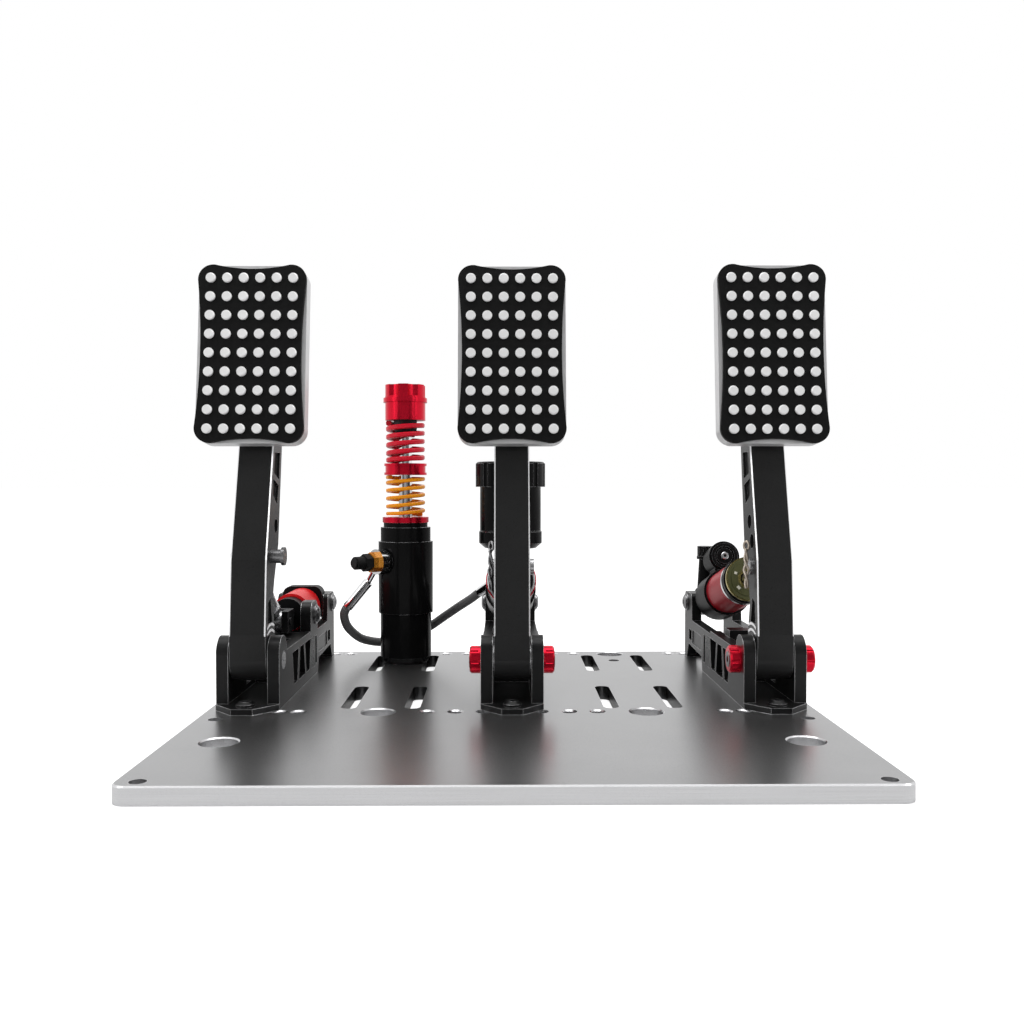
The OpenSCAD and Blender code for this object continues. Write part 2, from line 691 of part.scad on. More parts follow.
link_length = norm([crosshead_y - clutch_pin_at[0], clutch_pin_at[1] - clutch_axis_z]);
link_slope = atan2(clutch_pin_at[1] - clutch_axis_z, crosshead_y - clutch_pin_at[0]);
eye_w = fork_w - 2 * side_gap;
crosshead_slot_w = fork_w;
crosshead_w = 20;
crosshead_h = 16;
crosshead_back = rod_eye_r + link_play + 5;
plunger_disc_t = 3;
plunger_tail = clutch_can_y + plunger_disc_t + 0.5;

module rod_eye(bore) difference() {
    rod_x(2 * rod_eye_r, 0, eye_w);
    rod_x(bore, 0, eye_w + 2);
}

module clutch_link() color(silver) at_pedal(clutch_x)
    translate([0, clutch_pin_at[0], clutch_pin_at[1]]) rotate([-link_slope, 0, 0]) {
        rod_eye(pin_d + 2 * run_gap);
        translate([0, link_length, 0]) rod_eye(pin_d + 2 * link_play);
        rod_y(8, rod_eye_r - 1, link_length - 2 * rod_eye_r + 2);
        rod_y(9.4, 20, link_length - 40);
        for (y = [26, link_length - 20]) translate([0, y, 0]) rotate([-90, 0, 0])
            cylinder(d = 13, h = 5, $fn = 6);
    }

// Crosshead with its own pin, and the plunger that it pushes into the can.
module clutch_plunger() color(black) at_pedal(clutch_x) translate([0, 0, clutch_axis_z]) {
    difference() {
        translate([-crosshead_w / 2, crosshead_y - 6, -crosshead_h / 2])
            cube([crosshead_w, crosshead_back + 6, crosshead_h]);
        translate([-crosshead_slot_w / 2, crosshead_y - 7, -crosshead_h])
            cube([crosshead_slot_w, 7 + rod_eye_r + link_play + 0.4, 2 * crosshead_h]);
    }
    translate([0, crosshead_y, 0]) rod_x(pin_d, 0, crosshead_w + 2);
    rod_y(rod_d, crosshead_y + crosshead_back - 1, plunger_tail - crosshead_y - crosshead_back + 1);
    rod_y(clutch_can_d - 2 * can_wall - 2, plunger_tail - plunger_disc_t, plunger_disc_t);
}

module clutch_can() color(red) at_pedal(clutch_x) translate([0, 0, clutch_axis_z]) difference() {
    rod_y(clutch_can_d, clutch_can_y, clutch_can_l);
    rod_y(clutch_can_d - 2 * can_wall, clutch_can_y - 1, clutch_can_l - 3);
}

rear_block_w = 33;

// Front block between the tabs and rear block between the posts.
module clutch_blocks() color(black) at_pedal(clutch_x) {
    front_l = 14;
    rear_l = 13;
    rear_end = clutch_can_y + clutch_can_l + 3;
    difference() {
        translate([0, clutch_can_y - front_l, clutch_axis_z]) {
            rod_y(tongue_w, 0, front_l);
            translate([-tongue_w / 2, 0, -9]) cube([tongue_w, front_l, 9]);
        }
        translate([0, 0, clutch_axis_z]) rod_y(rod_d + 2 * run_gap, 0, 200);
        translate([0, tab_bolt_y, clutch_axis_z]) for (side = [-1, 1])
            rod_x(bolt_d + 2 * run_gap, side * tongue_w / 2, 9);
    }
    difference() {
        union() {
            translate([0, rear_end - rear_l, clutch_axis_z + 2.5]) rotate([90, 0, 0])
                translate([0, 0, -rear_l]) linear_extrude(rear_l) rounded_rectangle(rear_block_w, 28, 7);
            unit_tongue(rear_end, clutch_axis_z, 0, rear_bolt_y);
        }
        translate([0, 0, clutch_axis_z]) rod_y(clutch_can_d + 2 * run_gap, 0, clutch_can_y + clutch_can_l);
        translate([0, rear_bolt_y, rear_bolt_z]) rod_x(bolt_d + 2 * run_gap, 0, chassis_w);
    }
}

// Tongue between the rear posts, from y to its round end at rear_y, in (Y, Z) about height z.
module unit_tongue(y, z, drop, rear_y) {
    tongue_r = 11.5;
    side_plate(tongue_w) {
        polygon([[y - 6, z - tongue_r], [rear_y, z + drop - tongue_r], [rear_y, z + drop + tongue_r],
                 [y - 6, z + tongue_r]]);
        translate([rear_y, z + drop]) circle(tongue_r);
    }
}

return_wire_d = 1.4;
module clutch_return_spring() color(silver) at_pedal(clutch_x)
    translate([0, plunger_tail + 0.2, clutch_axis_z]) rotate([-90, 0, 0])
        coil(clutch_can_d - 2 * can_wall - 3, return_wire_d,
             clutch_can_y + clutch_can_l - 4 - plunger_tail - 0.4, 6);

// Brake master cylinder

can_end = can_start + can_l;
cradle_end_t = 5;
piston_at = can_start + 22;
piston_play = 1.5;

module push_rod(can_d) {
    rod_eye(pin_d + 2 * run_gap);
    rod_y(rod_d, rod_eye_r - 1, piston_at - rod_eye_r + 2);
    rod_y(can_d - 2 * can_wall - 2 * piston_play, piston_at, 8);
    translate([0, 16, 0]) rotate([-90, 0, 0]) cylinder(d = 17, h = 6, $fn = 6);
}

module can_shell(can_d) difference() {
    rod_y(can_d, can_start, can_l);
    rod_y(can_d - 2 * can_wall, can_start - 1, can_l - 3);
}

module brake_pushrod() color(silver) at_pedal(brake_x) along_unit(brake_pin_at) push_rod(brake_can_d);

module brake_can() color(black) at_pedal(brake_x) along_unit(brake_pin_at) can_shell(brake_can_d);

// Black front disc with a spigot in the can's mouth.
module brake_gland() color(black) at_pedal(brake_x) along_unit(brake_pin_at) difference() {
    union() {
        rod_y(brake_can_d - 3, can_start - 3, 3);
        rod_y(brake_can_d - 10, can_start - 4.5, 2);
        rod_y(brake_can_d - 2 * can_wall, can_start, 6);
    }
    rod_y(rod_d + 2 * gland_play, can_start - 10, 30);
}

// Sleeve round the rear of a can, with the tongue to the rear bolt.
module cradle_body(can_d, pin_at, start) {
    rod_y(can_d + 2 * cradle_wall, start, can_end + cradle_end_t - start);
    unit_tongue(can_end, 0, 0, unit_length(pin_at));
}

module cradle_cuts(can_d, pin_at) {
    rod_y(can_d + 2 * run_gap, 0, can_end);
    translate([0, unit_length(pin_at), 0]) rod_x(bolt_d + 2 * run_gap, 0, chassis_w);
}

neck_d = 16;
module brake_cradle() color(black) at_pedal(brake_x) difference() {
    union() {
        along_unit(brake_pin_at) cradle_body(brake_can_d, brake_pin_at, can_start + 46);
        translate([0, reservoir_y, reservoir_z - 30]) cylinder(d = neck_d, h = 30);
        translate([0, reservoir_y, reservoir_z - 4]) cylinder(d = neck_d + 8, h = 4);
    }
    along_unit(brake_pin_at) cradle_cuts(brake_can_d, brake_pin_at);
}

reservoir_wall = 2;
cap_overlap = 11;
module reservoir_body() color(black) at_pedal(brake_x)
    translate([0, reservoir_y, reservoir_z]) rotate_extrude() {
    r = reservoir_d / 2;
    h = reservoir_h;
    lip = 0.8;
    bevel = 4.5;
    ring_h = 13;
    polygon([[0, 0], [r + lip - bevel, 0], [r + lip, bevel - 0.5], [r + lip, ring_h], [r, ring_h + 1], [r, h],
             [r - reservoir_wall, h], [r - reservoir_wall, bevel], [r - reservoir_wall - 1, 3], [0, 3]]);
}

module reservoir_cap() color(black) at_pedal(brake_x)
    translate([0, reservoir_y, reservoir_z + reservoir_h - cap_overlap]) difference() {
        edge = 1.5;
        union() {
            cylinder(d = reservoir_cap_d, h = reservoir_cap_h - edge);
            translate([0, 0, reservoir_cap_h - edge])
                cylinder(d1 = reservoir_cap_d, d2 = reservoir_cap_d - 2 * edge, h = edge);
        }
        translate([0, 0, -1]) cylinder(d = reservoir_d + 0.6, h = cap_overlap + 1.3);
        for (i = [0:cap_notches - 1]) rotate([0, 0, 360 / cap_notches * (i + 0.5)])
            translate([reservoir_cap_d / 2 + 2.6, 0, -1]) cylinder(d = 7.5, h = reservoir_cap_h + 2);
    }

// Throttle damper

module throttle_rod() color(silver) at_pedal(throttle_x)
    along_unit(throttle_pin_at) push_rod(throttle_can_d);
module throttle_can() color(red) at_pedal(throttle_x) along_unit(throttle_pin_at) can_shell(throttle_can_d);

flange_t = 4;
gland_t = 2.6;
board_t = 1.6;
module throttle_flange() color(black) at_pedal(throttle_x) along_unit(throttle_pin_at)
    tube_y(throttle_can_d - 2, rod_d + 2 * gland_play, can_start - flange_t, flange_t);

module throttle_gland() color([0.8, 0.6, 0.2]) at_pedal(throttle_x) along_unit(throttle_pin_at)
    tube_y(throttle_can_d - 1, rod_d + 2 * gland_play, can_start - flange_t - gland_t, gland_t);

// Ring-shaped board with small chips.
module throttle_sensor_board() color([0.35, 0.36, 0.12]) at_pedal(throttle_x) along_unit(throttle_pin_at) {
    face_y = can_start - flange_t - gland_t - board_t;
    mid_r = (throttle_can_d - 8 + rod_d + 6) / 4;
    tube_y(throttle_can_d - 8, rod_d + 6, face_y, board_t);
    for (i = [0:5]) rotate([0, 60 * i + 20, 0]) translate([mid_r - 1, face_y - 0.8, -1.4])
        cube([2, 1, 2.8 - i % 2]);
}

piggyback_z = throttle_can_d / 2 + piggyback_d / 2 + 0.5;
piggyback_y = 127;
knob_x = -7.5;
knob_y = 157;
knob_z = 86;
module throttle_cradle() color(black) at_pedal(throttle_x) difference() {
    union() {
        along_unit(throttle_pin_at) {
            cradle_body(throttle_can_d, throttle_pin_at, can_start + 62);
            translate([-8, piggyback_y + 3, 0]) cube([16, piggyback_l - 6, piggyback_z - 4]);
        }
        translate([knob_x, knob_y, 60]) cylinder(d1 = 14, d2 = 11, h = knob_z - 60);
    }
    along_unit(throttle_pin_at) {
        cradle_cuts(throttle_can_d, throttle_pin_at);
        translate([0, 0, piggyback_z]) rod_y(piggyback_d + 2 * run_gap, piggyback_y - 1, piggyback_l + 2);
    }
    translate([knob_x, knob_y, knob_z - 8]) cylinder(d = 5 + 2 * run_gap, h = 10);
}

module throttle_piggyback() color(black) at_pedal(throttle_x) along_unit(throttle_pin_at)
    translate([0, 0, piggyback_z]) difference() {
        union() {
            rod_y(piggyback_d, piggyback_y + 2, piggyback_l - 2);
            rod_y(piggyback_d - 4, piggyback_y, 4);
        }
        tube_y(piggyback_d - 9, piggyback_d - 12, piggyback_y - 1, 2);
    }

// Fluted knob on a red base ring, with a short stem in its boss.
module damper_knob() color(black) at_pedal(throttle_x) translate([knob_x, knob_y, knob_z + 0.1]) {
    ring_h = 2.5;
    cylinder(d = knob_d + 1, h = ring_h);
    translate([0, 0, -7]) cylinder(d = 5, h = 8);
    difference() {
        cylinder(d = knob_d, h = knob_h);
        for (i = [0:9]) rotate([0, 0, 36 * i]) translate([knob_d / 2 + 0.5, 0, ring_h])
            cylinder(d = 2.4, h = knob_h);
    }
}

module throttle_return_spring() color(silver) at_pedal(throttle_x) along_unit(throttle_pin_at) {
    spring_y = piston_at + 8 + 0.2;
    translate([0, spring_y, 0]) rotate([-90, 0, 0])
        coil(throttle_can_d - 2 * can_wall - 3, return_wire_d, can_end - 4.2 - spring_y, 8);
}

// Coil springs and swept tubes

tube_sides = 6;
rings_per_curl = 8;

// Ring centres of a coil that stands on z = 0, with a straight end one wire diameter long at both ends.
function coil_points(outer_d, wire_d, height, curls) = let(
    r = (outer_d - wire_d) / 2,
    steps = round(curls * rings_per_curl),
    low = wire_d / 2 + 0.1,
    rise = height - 2 * low,
    turn = 360 * curls / steps,
    helix = [for (i = [0:steps]) [r * cos(turn * i), r * sin(turn * i), low + rise * i / steps]],
    head = helix[0] - wire_d * [0, 1, 0],
    last_turn = turn * steps,
    tail = helix[steps] + wire_d * [-sin(last_turn), cos(last_turn), 0]
) concat([head], helix, [tail]);

// Least gap of a coil to itself, on its ring centres.
function coil_gap(points, wire_d) = min([for (i = [0:len(points) - 1 - rings_per_curl / 2])
    for (j = [i + rings_per_curl / 2:len(points) - 1]) norm(points[i] - points[j])]) - wire_d;

function unit_vector(v) = v / norm(v);

// Directions along a route at each of its points.
function headings(points) = [for (i = [0:len(points) - 1]) unit_vector(
    points[min(i + 1, len(points) - 1)] - points[max(i - 1, 0)])];

// Tube of round section swept along a route. side_hint is never parallel to the route.
module swept_tube(points, diameter, sides, side_hint) {
    ways = headings(points);
    count = len(points);
    rings = [for (i = [0:count - 1]) let(
        u = unit_vector(cross(ways[i], side_hint)),
        v = cross(ways[i], u)
    ) for (k = [0:sides - 1]) let(turn = 360 * k / sides)
        points[i] + diameter / 2 * (u * cos(turn) + v * sin(turn))];
    walls = [for (i = [0:count - 2], k = [0:sides - 1]) let(
        a = i * sides + k,
        b = i * sides + (k + 1) % sides
    ) each [[a, a + sides, b], [b, a + sides, b + sides]]];
    last = (count - 1) * sides;
    caps = [for (k = [1:sides - 2]) each [[0, k, k + 1], [last, last + k + 1, last + k]]];
    polyhedron(rings, concat(walls, caps), convexity = 10);
}

module coil(outer_d, wire_d, height, curls) {
    points = coil_points(outer_d, wire_d, height, curls);
    echo(coil_gap = coil_gap(points, wire_d));
    swept_tube(points, wire_d, tube_sides, [0, 0, 1]);
}

// Spring unit

sleeve_z = unit_body_h;
gland_z = sleeve_z + unit_sleeve_h;
seat_z = gland_z + unit_gland_h;
lower_spring_z = seat_z + seat_h;
mid_z = lower_spring_z + lower_spring_h;
upper_spring_z = mid_z + mid_collar_h;
cap_z = upper_spring_z + upper_spring_h;
bore_floor_z = 20;
piston_z = 60;
piston_h = 12;
rod_top_z = cap_z + unit_cap_h + 4;
loose_gap = 0.3;

module at_spring_unit(z) {
    translate([spring_unit_x, spring_unit_y, plate_t + z]) children();
}

// Frame of the hydraulic port: X out of the sleeve, from the unit's axis.
module at_port() {
    at_spring_unit(port_z) rotate([0, 0, 180 + port_turn]) children();
}

module port_rod(diameter, x, length, sides) {
    translate([x, 0, 0]) rotate([0, 90, 0]) cylinder(d = diameter, h = length, $fn = sides);
}

port_face = unit_sleeve_d / 2 + 2;
eye_t = 7;
banjo_d = 10;
hex_l = 6.5;

module unit_body() color(black) at_spring_unit(0) difference() {
    foot_d = unit_body_d - 5.8;
    foot_h = 5;
    union() {
        cylinder(d1 = foot_d, d2 = unit_body_d, h = foot_h);
        translate([0, 0, foot_h]) cylinder(d = unit_body_d, h = unit_body_h - foot_h);
    }
    translate([0, 0, bore_floor_z]) cylinder(d = unit_bore_d, h = unit_body_h);
    translate([0, 0, -1]) cylinder(d = bolt_d + 2 * run_gap, h = 11.5);
}

module unit_sleeve() color(black) difference() {
    union() {
        at_spring_unit(sleeve_z) cylinder(d = unit_sleeve_d, h = unit_sleeve_h);
        at_port() port_rod(18, unit_bore_d / 2 + 2, port_face - unit_bore_d / 2 - 2, 48);
    }
    at_spring_unit(sleeve_z - 1) cylinder(d = unit_bore_d, h = unit_sleeve_h + 2);
    at_port() port_rod(banjo_d + 2 * run_gap, 0, 60, 48);
}

module unit_gland() color(black) at_spring_unit(gland_z) difference() {
    neck_h = 4;
    union() {
        cylinder(d = unit_gland_d, h = unit_gland_h - neck_h);
        cylinder(d = unit_gland_d - 5, h = unit_gland_h);
    }
    translate([0, 0, -1]) cylinder(d = unit_rod_d + 2 * run_gap, h = unit_gland_h + 2);
}

module spring_seat() color(red) at_spring_unit(seat_z) difference() {
    cylinder(d = seat_d, h = seat_h);
    translate([0, 0, -1]) cylinder(d = unit_rod_d + 2 * loose_gap, h = seat_h + 2);
}

module lower_spring() color(orange) at_spring_unit(lower_spring_z)
    coil(lower_spring_d, lower_wire_d, lower_spring_h, lower_curls);

module mid_collar() color(red) at_spring_unit(mid_z) difference() {
    lip = 2;
    union() {
        cylinder(d = mid_collar_d - 2, h = mid_collar_h);
        for (z = [0, mid_collar_h - lip]) translate([0, 0, z]) cylinder(d = mid_collar_d, h = lip);
    }
    translate([0, 0, -1]) cylinder(d = unit_rod_d + 2 * loose_gap, h = mid_collar_h + 2);
}

module upper_spring() color(red) at_spring_unit(upper_spring_z)
    coil(upper_spring_d, upper_wire_d, upper_spring_h, upper_curls);

// Chrome rod with its piston, and the rubber bump stop under the cap.
module unit_rod() color(silver) {
    stop_h = 14;
    stop_d = unit_rod_d + 8;
    at_spring_unit(piston_z) cylinder(d = unit_bore_d - 2 * loose_gap, h = piston_h);
    at_spring_unit(piston_z) cylinder(d = unit_rod_d, h = rod_top_z - piston_z);
    at_spring_unit(cap_z - stop_h) {
        cylinder(d1 = stop_d - 4, d2 = stop_d, h = stop_h / 2);
        translate([0, 0, stop_h / 2]) cylinder(d = stop_d, h = stop_h / 2);
    }
}

module unit_cap() color(red) at_spring_unit(cap_z) difference() {
    rim_h = 3.6;
    cup_d = unit_knob_d - 0.2;
    flutes = 6;
    union() {
        cylinder(d = cup_d, h = unit_cap_h);
        translate([0, 0, unit_cap_h - rim_h]) cylinder(d = cup_d + 3, h = rim_h);
        translate([0, 0, unit_cap_h]) difference() {
            cylinder(d = unit_knob_d, h = unit_knob_h);
            for (i = [0:flutes - 1]) rotate([0, 0, 360 / flutes * i]) translate([unit_knob_d / 2 + 3, 0, 1.5])
                cylinder(d = 12, h = unit_knob_h);
        }
        translate([0, 0, unit_cap_h + unit_knob_h]) cylinder(d1 = 8, d2 = 6, h = 1.5);
    }
    translate([0, 0, -1]) cylinder(d = unit_rod_d + 2 * run_gap, h = rod_top_z - cap_z + 1.2);
}

// Hydraulic fittings and hose

banjo_eye_x = port_face + eye_t / 2;
port_way = [-cos(port_turn), -sin(port_turn), 0];
eye_at = [spring_unit_x, spring_unit_y, plate_t + port_z] + banjo_eye_x * port_way;
hose_route = [for (place = [
    [-137.3, 147, 46.4], [-139.2, 147.3, 44.1], [-140.8, 149, 38.5], [-138.3, 153, 28.5],
    [-130, 161, 18.5], [-121.5, 169, 14], [-112, 175, 12], [-100, 179, 12], [-88, 180, 16],
    [-78, 178, 21], [-68, 175, 27], [-56, 168, 36],
    [-44, 159, 45], [-33, 150, 53], [-26.5, 142.3, 58.8], [-25, 140, 60]
]) place + [0, 0, plate_t]];
hose_end = hose_route[len(hose_route) - 1];
hose_sides = 10;
// where the fitting, in line with the hose's end, meets the brake cradle
port_reach = 21.8;
hose_port = hose_end + port_reach * unit_vector(hose_end - hose_route[len(hose_route) - 2]);

// Cylinder from a towards b, starting at distance skip.
module rod_between(a, b, diameter, skip, length) {
    way = b - a;
    translate(a) rotate([0, acos(way[2] / norm(way)), atan2(way[1], way[0])])
        translate([0, 0, skip]) cylinder(d = diameter, h = length);
}

module banjo_bolt() color(orange) at_port() {
    port_rod(banjo_d, unit_bore_d / 2 + 1, port_face + eye_t - unit_bore_d / 2 - 1, 48);
    port_rod(14.4 / cos(30), port_face + eye_t, hex_l, 6);
}

module hose_fittings() color(silver) {
    ferrule_l = 28;
    ferrule_d = hose_d + 1.3;
    eye_d = 21;
    ferrule_top = hose_route[0] - ferrule_l * unit_vector(hose_route[1] - hose_route[0]);
    reach = norm(ferrule_top - eye_at);
    difference() {
        union() {
            at_port() port_rod(eye_d, port_face, eye_t, 48);
            rod_between(eye_at, ferrule_top, 5, 2, reach);
        }
        at_port() port_rod(banjo_d + 2 * run_gap, 0, 90, 48);
    }
    rod_between(ferrule_top, hose_route[0], ferrule_d, 0, ferrule_l);
    difference() {
        rod_between(hose_end, hose_port, ferrule_d, 0, norm(hose_port - hose_end));
        at_pedal(brake_x) along_unit(brake_pin_at) rod_y(brake_can_d + 2 * cradle_wall, 0, 200);
    }
}

module bleed_nipple() color(black) at_port() {
    start = port_face + eye_t + hex_l;
    hex_t = 6.5;
    tube_l = 8;
    port_rod(12.6 / cos(30), start, hex_t, 6);
    port_rod(10.6, start + hex_t, tube_l, 48);
    port_rod(8, start + hex_t + tube_l, 1.5, 48);
}

module brake_hose() color(black) swept_tube(hose_route, hose_d, hose_sides, [0, 1, 0]);

base_plate();
clutch_chassis();
brake_chassis();
throttle_chassis();
chassis_bolts();
pivot_axles();
axle_caps();
unit_bolts();
clutch_arm();
clutch_pad_back();
clutch_pad_face();
clutch_studs();
clutch_bushes();
clutch_pin();
brake_arm();
brake_pad_back();
brake_pad_face();
brake_studs();
brake_bushes();
brake_pin();
throttle_arm();
throttle_pad_back();
throttle_pad_face();
throttle_studs();
throttle_bushes();
throttle_pin();
clutch_link();
clutch_plunger();
clutch_can();
clutch_blocks();
clutch_return_spring();
brake_pushrod();
brake_can();
brake_gland();
brake_cradle();
reservoir_body();
reservoir_cap();
throttle_rod();
throttle_can();
throttle_flange();
throttle_gland();
throttle_sensor_board();
throttle_cradle();
throttle_piggyback();
throttle_return_spring();
damper_knob();
unit_body();
unit_sleeve();
unit_gland();
spring_seat();
lower_spring();
mid_collar();
upper_spring();
unit_rod();
unit_cap();
banjo_bolt();
hose_fittings();
bleed_nipple();
brake_hose();
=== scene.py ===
"""Looks of a sim racing pedal set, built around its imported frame. Metres, Z up, +Y away from the driver."""
import math

import bmesh
import bpy
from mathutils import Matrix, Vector


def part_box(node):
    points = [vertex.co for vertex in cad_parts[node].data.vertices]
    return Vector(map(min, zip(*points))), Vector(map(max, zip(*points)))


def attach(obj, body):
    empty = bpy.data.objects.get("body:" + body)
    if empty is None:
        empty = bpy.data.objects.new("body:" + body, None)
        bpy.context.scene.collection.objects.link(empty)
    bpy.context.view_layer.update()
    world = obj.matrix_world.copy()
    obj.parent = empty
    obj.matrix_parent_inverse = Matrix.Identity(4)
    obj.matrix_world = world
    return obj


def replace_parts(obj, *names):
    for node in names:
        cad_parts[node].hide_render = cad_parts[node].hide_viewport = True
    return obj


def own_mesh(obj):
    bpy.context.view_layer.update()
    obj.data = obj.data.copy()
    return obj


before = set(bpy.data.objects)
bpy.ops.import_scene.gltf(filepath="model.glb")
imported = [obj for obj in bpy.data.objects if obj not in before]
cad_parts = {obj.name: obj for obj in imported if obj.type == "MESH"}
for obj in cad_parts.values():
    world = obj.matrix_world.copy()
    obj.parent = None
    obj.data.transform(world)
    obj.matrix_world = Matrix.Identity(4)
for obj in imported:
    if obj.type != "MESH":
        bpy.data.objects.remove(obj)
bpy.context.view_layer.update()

MM = 0.001
PLATE_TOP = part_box("base_plate")[1].z


# Node helpers

def socket_of(node, key):
    """Input of a node by name (spaces written as _), or by place where the key is i0, i1 and so on."""
    if key[0] == "i" and key[1:].isdigit():
        return node.inputs[int(key[1:])]
    return node.inputs[key.replace("_", " ")]


def set_socket(tree, socket, value):
    """Links a socket to another node's output, or sets its plain value."""
    if isinstance(value, bpy.types.NodeSocket):
        tree.links.new(value, socket)
    else:
        socket.default_value = value


def new_node(tree, kind, settings=None, **values):
    """Adds a node, sets its properties, and sets or links its inputs."""
    made = tree.nodes.new(kind)
    for key, value in (settings or {}).items():
        setattr(made, key, value)
    for key, value in values.items():
        set_socket(tree, socket_of(made, key), value)
    return made


def math_node(tree, operation, *values, clamp=False):
    made = new_node(tree, "ShaderNodeMath", {"operation": operation, "use_clamp": clamp},
                    **{f"i{i}": v for i, v in enumerate(values)})
    return made.outputs[0]


def colour(r, g, b):
    return (r, g, b, 1.0)


def coordinates(tree, output="Object"):
    return tree.nodes.new("ShaderNodeTexCoord").outputs[output]


def noise(tree, scale, detail=3.0, stretch=None):
    """Noise in the part's own frame. stretch scales the coordinates on each axis."""
    place = coordinates(tree)
    if stretch:
        place = new_node(tree, "ShaderNodeMapping", Vector=place, Scale=stretch).outputs[0]
    return new_node(tree, "ShaderNodeTexNoise", Vector=place, Scale=scale, Detail=detail).outputs["Fac"]


def spread(tree, value, low, high, start=0.3, end=0.7):
    """Maps a value from start..end to low..high."""
    made = new_node(tree, "ShaderNodeMapRange", Value=value, From_Min=start, From_Max=end,
                    To_Min=low, To_Max=high)
    return made.outputs[0]


def mix(tree, factor, first, second):
    """Blends two colours."""
    made = new_node(tree, "ShaderNodeMix", {"data_type": "RGBA"})
    set_socket(tree, made.inputs[0], factor)
    set_socket(tree, made.inputs[6], first)
    set_socket(tree, made.inputs[7], second)
    return made.outputs[2]


def bump(tree, shader, height, distance):
    made = new_node(tree, "ShaderNodeBump", Height=height, Distance=distance, Strength=1.0)
    tree.links.new(made.outputs[0], shader.inputs["Normal"])


def material(name, **values):
    """New material with a Principled shader. Returns it, its node tree and the shader."""
    made = bpy.data.materials.new(name)
    made.use_nodes = True
    tree = made.node_tree
    shader = tree.nodes["Principled BSDF"]
    for key, value in values.items():
        shader.inputs[key.replace("_", " ")].default_value = value
    return made, tree, shader


def finish_surface(tree, shader, dark, light, rough, grain_scale, grain_depth, stretch=None):
    """Colour and roughness that vary a little over the surface, and a fine grain."""
    broad = noise(tree, 40.0, 4.0)
    fine = noise(tree, grain_scale, 2.0, stretch)
    tree.links.new(mix(tree, broad, dark, light), shader.inputs["Base Color"])
    tree.links.new(spread(tree, fine, rough[0], rough[1]), shader.inputs["Roughness"])
    bump(tree, shader, fine, grain_depth)


def linked(shader, name):
    """The output that feeds one of the shader's inputs."""
    return shader.inputs[name].links[0].from_socket


def recolour(tree, shader, mask, second):
    """Gives the surface another colour where mask is 1."""
    first = linked(shader, "Base Color")
    tree.links.new(mix(tree, mask, first, second), shader.inputs["Base Color"])


def edge_mask(tree, radius):
    """1 close to sharp edges, 0 on flat and gently curved stretches."""
    rounded = new_node(tree, "ShaderNodeBevel", {"samples": 6}, Radius=radius).outputs[0]
    flat = tree.nodes.new("ShaderNodeNewGeometry").outputs["Normal"]
    product = new_node(tree, "ShaderNodeVectorMath", {"operation": "DOT_PRODUCT"}, i0=rounded, i1=flat)
    return spread(tree, product.outputs["Value"], 0.0, 1.0, 0.985, 0.9)


def normal_part(tree, axis):
    """One component of the surface normal in the part's own frame."""
    split = new_node(tree, "ShaderNodeSeparateXYZ", Vector=coordinates(tree, "Normal"))
    return split.outputs[axis]


def place_part(tree, axis):
    """One coordinate of the surface point in the part's own frame, in metres."""
    return new_node(tree, "ShaderNodeSeparateXYZ", Vector=coordinates(tree)).outputs[axis]


def between(tree, value, low, high):
    """1 where low < value < high."""
    above = math_node(tree, "GREATER_THAN", value, low)
    below = math_node(tree, "LESS_THAN", value, high)
    return math_node(tree, "MULTIPLY", above, below)


# Places

PEDAL_PITCH = 0.1755
PEDAL_X = {"clutch": -PEDAL_PITCH, "brake": 0.0, "throttle": PEDAL_PITCH}
PIVOT_Y = -0.0175
PIVOT_Z = PLATE_TOP + 0.031
REAR_BOLT_Y, REAR_BOLT_Z = 168.0, 48.0


class StrutUnit:
    """Line from an arm's pin to the rear bolt. Places on it are along it and square up from it, in mm."""

    def __init__(self, x, pin_y, pin_z):
        self.origin = Vector((x, pin_y * MM, pin_z * MM + PLATE_TOP))
        slope = math.atan2(pin_z - REAR_BOLT_Z, REAR_BOLT_Y - pin_y)
        self.along = Vector((0, math.cos(slope), -math.sin(slope)))
        self.up = Vector((0, math.sin(slope), math.cos(slope)))

    def at(self, along, up=0.0):
        return self.origin + along * MM * self.along + up * MM * self.up


brake_unit = StrutUnit(0.0, -11.5, 93.5)
throttle_unit = StrutUnit(PEDAL_PITCH, -12.592, 93.595)


# Materials

BLACK_DARK = colour(0.004, 0.004, 0.0042)
BLACK_LIGHT = colour(0.008, 0.008, 0.0083)
SILVER = colour(0.62, 0.62, 0.63)
BRIGHT = colour(0.82, 0.82, 0.83)
CHROME_DARK = colour(0.74, 0.74, 0.75)
CHROME_LIGHT = colour(0.86, 0.86, 0.87)
CHROME_ROUGH = (0.05, 0.12)
RED_DARK = colour(0.58, 0.006, 0.022)
RED_LIGHT = colour(0.74, 0.012, 0.040)


def nearer_than(tree, along):
    """1 where a point of the throttle's unit is nearer to its arm's pin than along, in mm."""
    way = throttle_unit.along
    run = math_node(tree, "ADD", math_node(tree, "MULTIPLY", place_part(tree, "Y"), way.y),
                    math_node(tree, "MULTIPLY", place_part(tree, "Z"), way.z))
    return math_node(tree, "LESS_THAN", run, throttle_unit.at(along).dot(way))


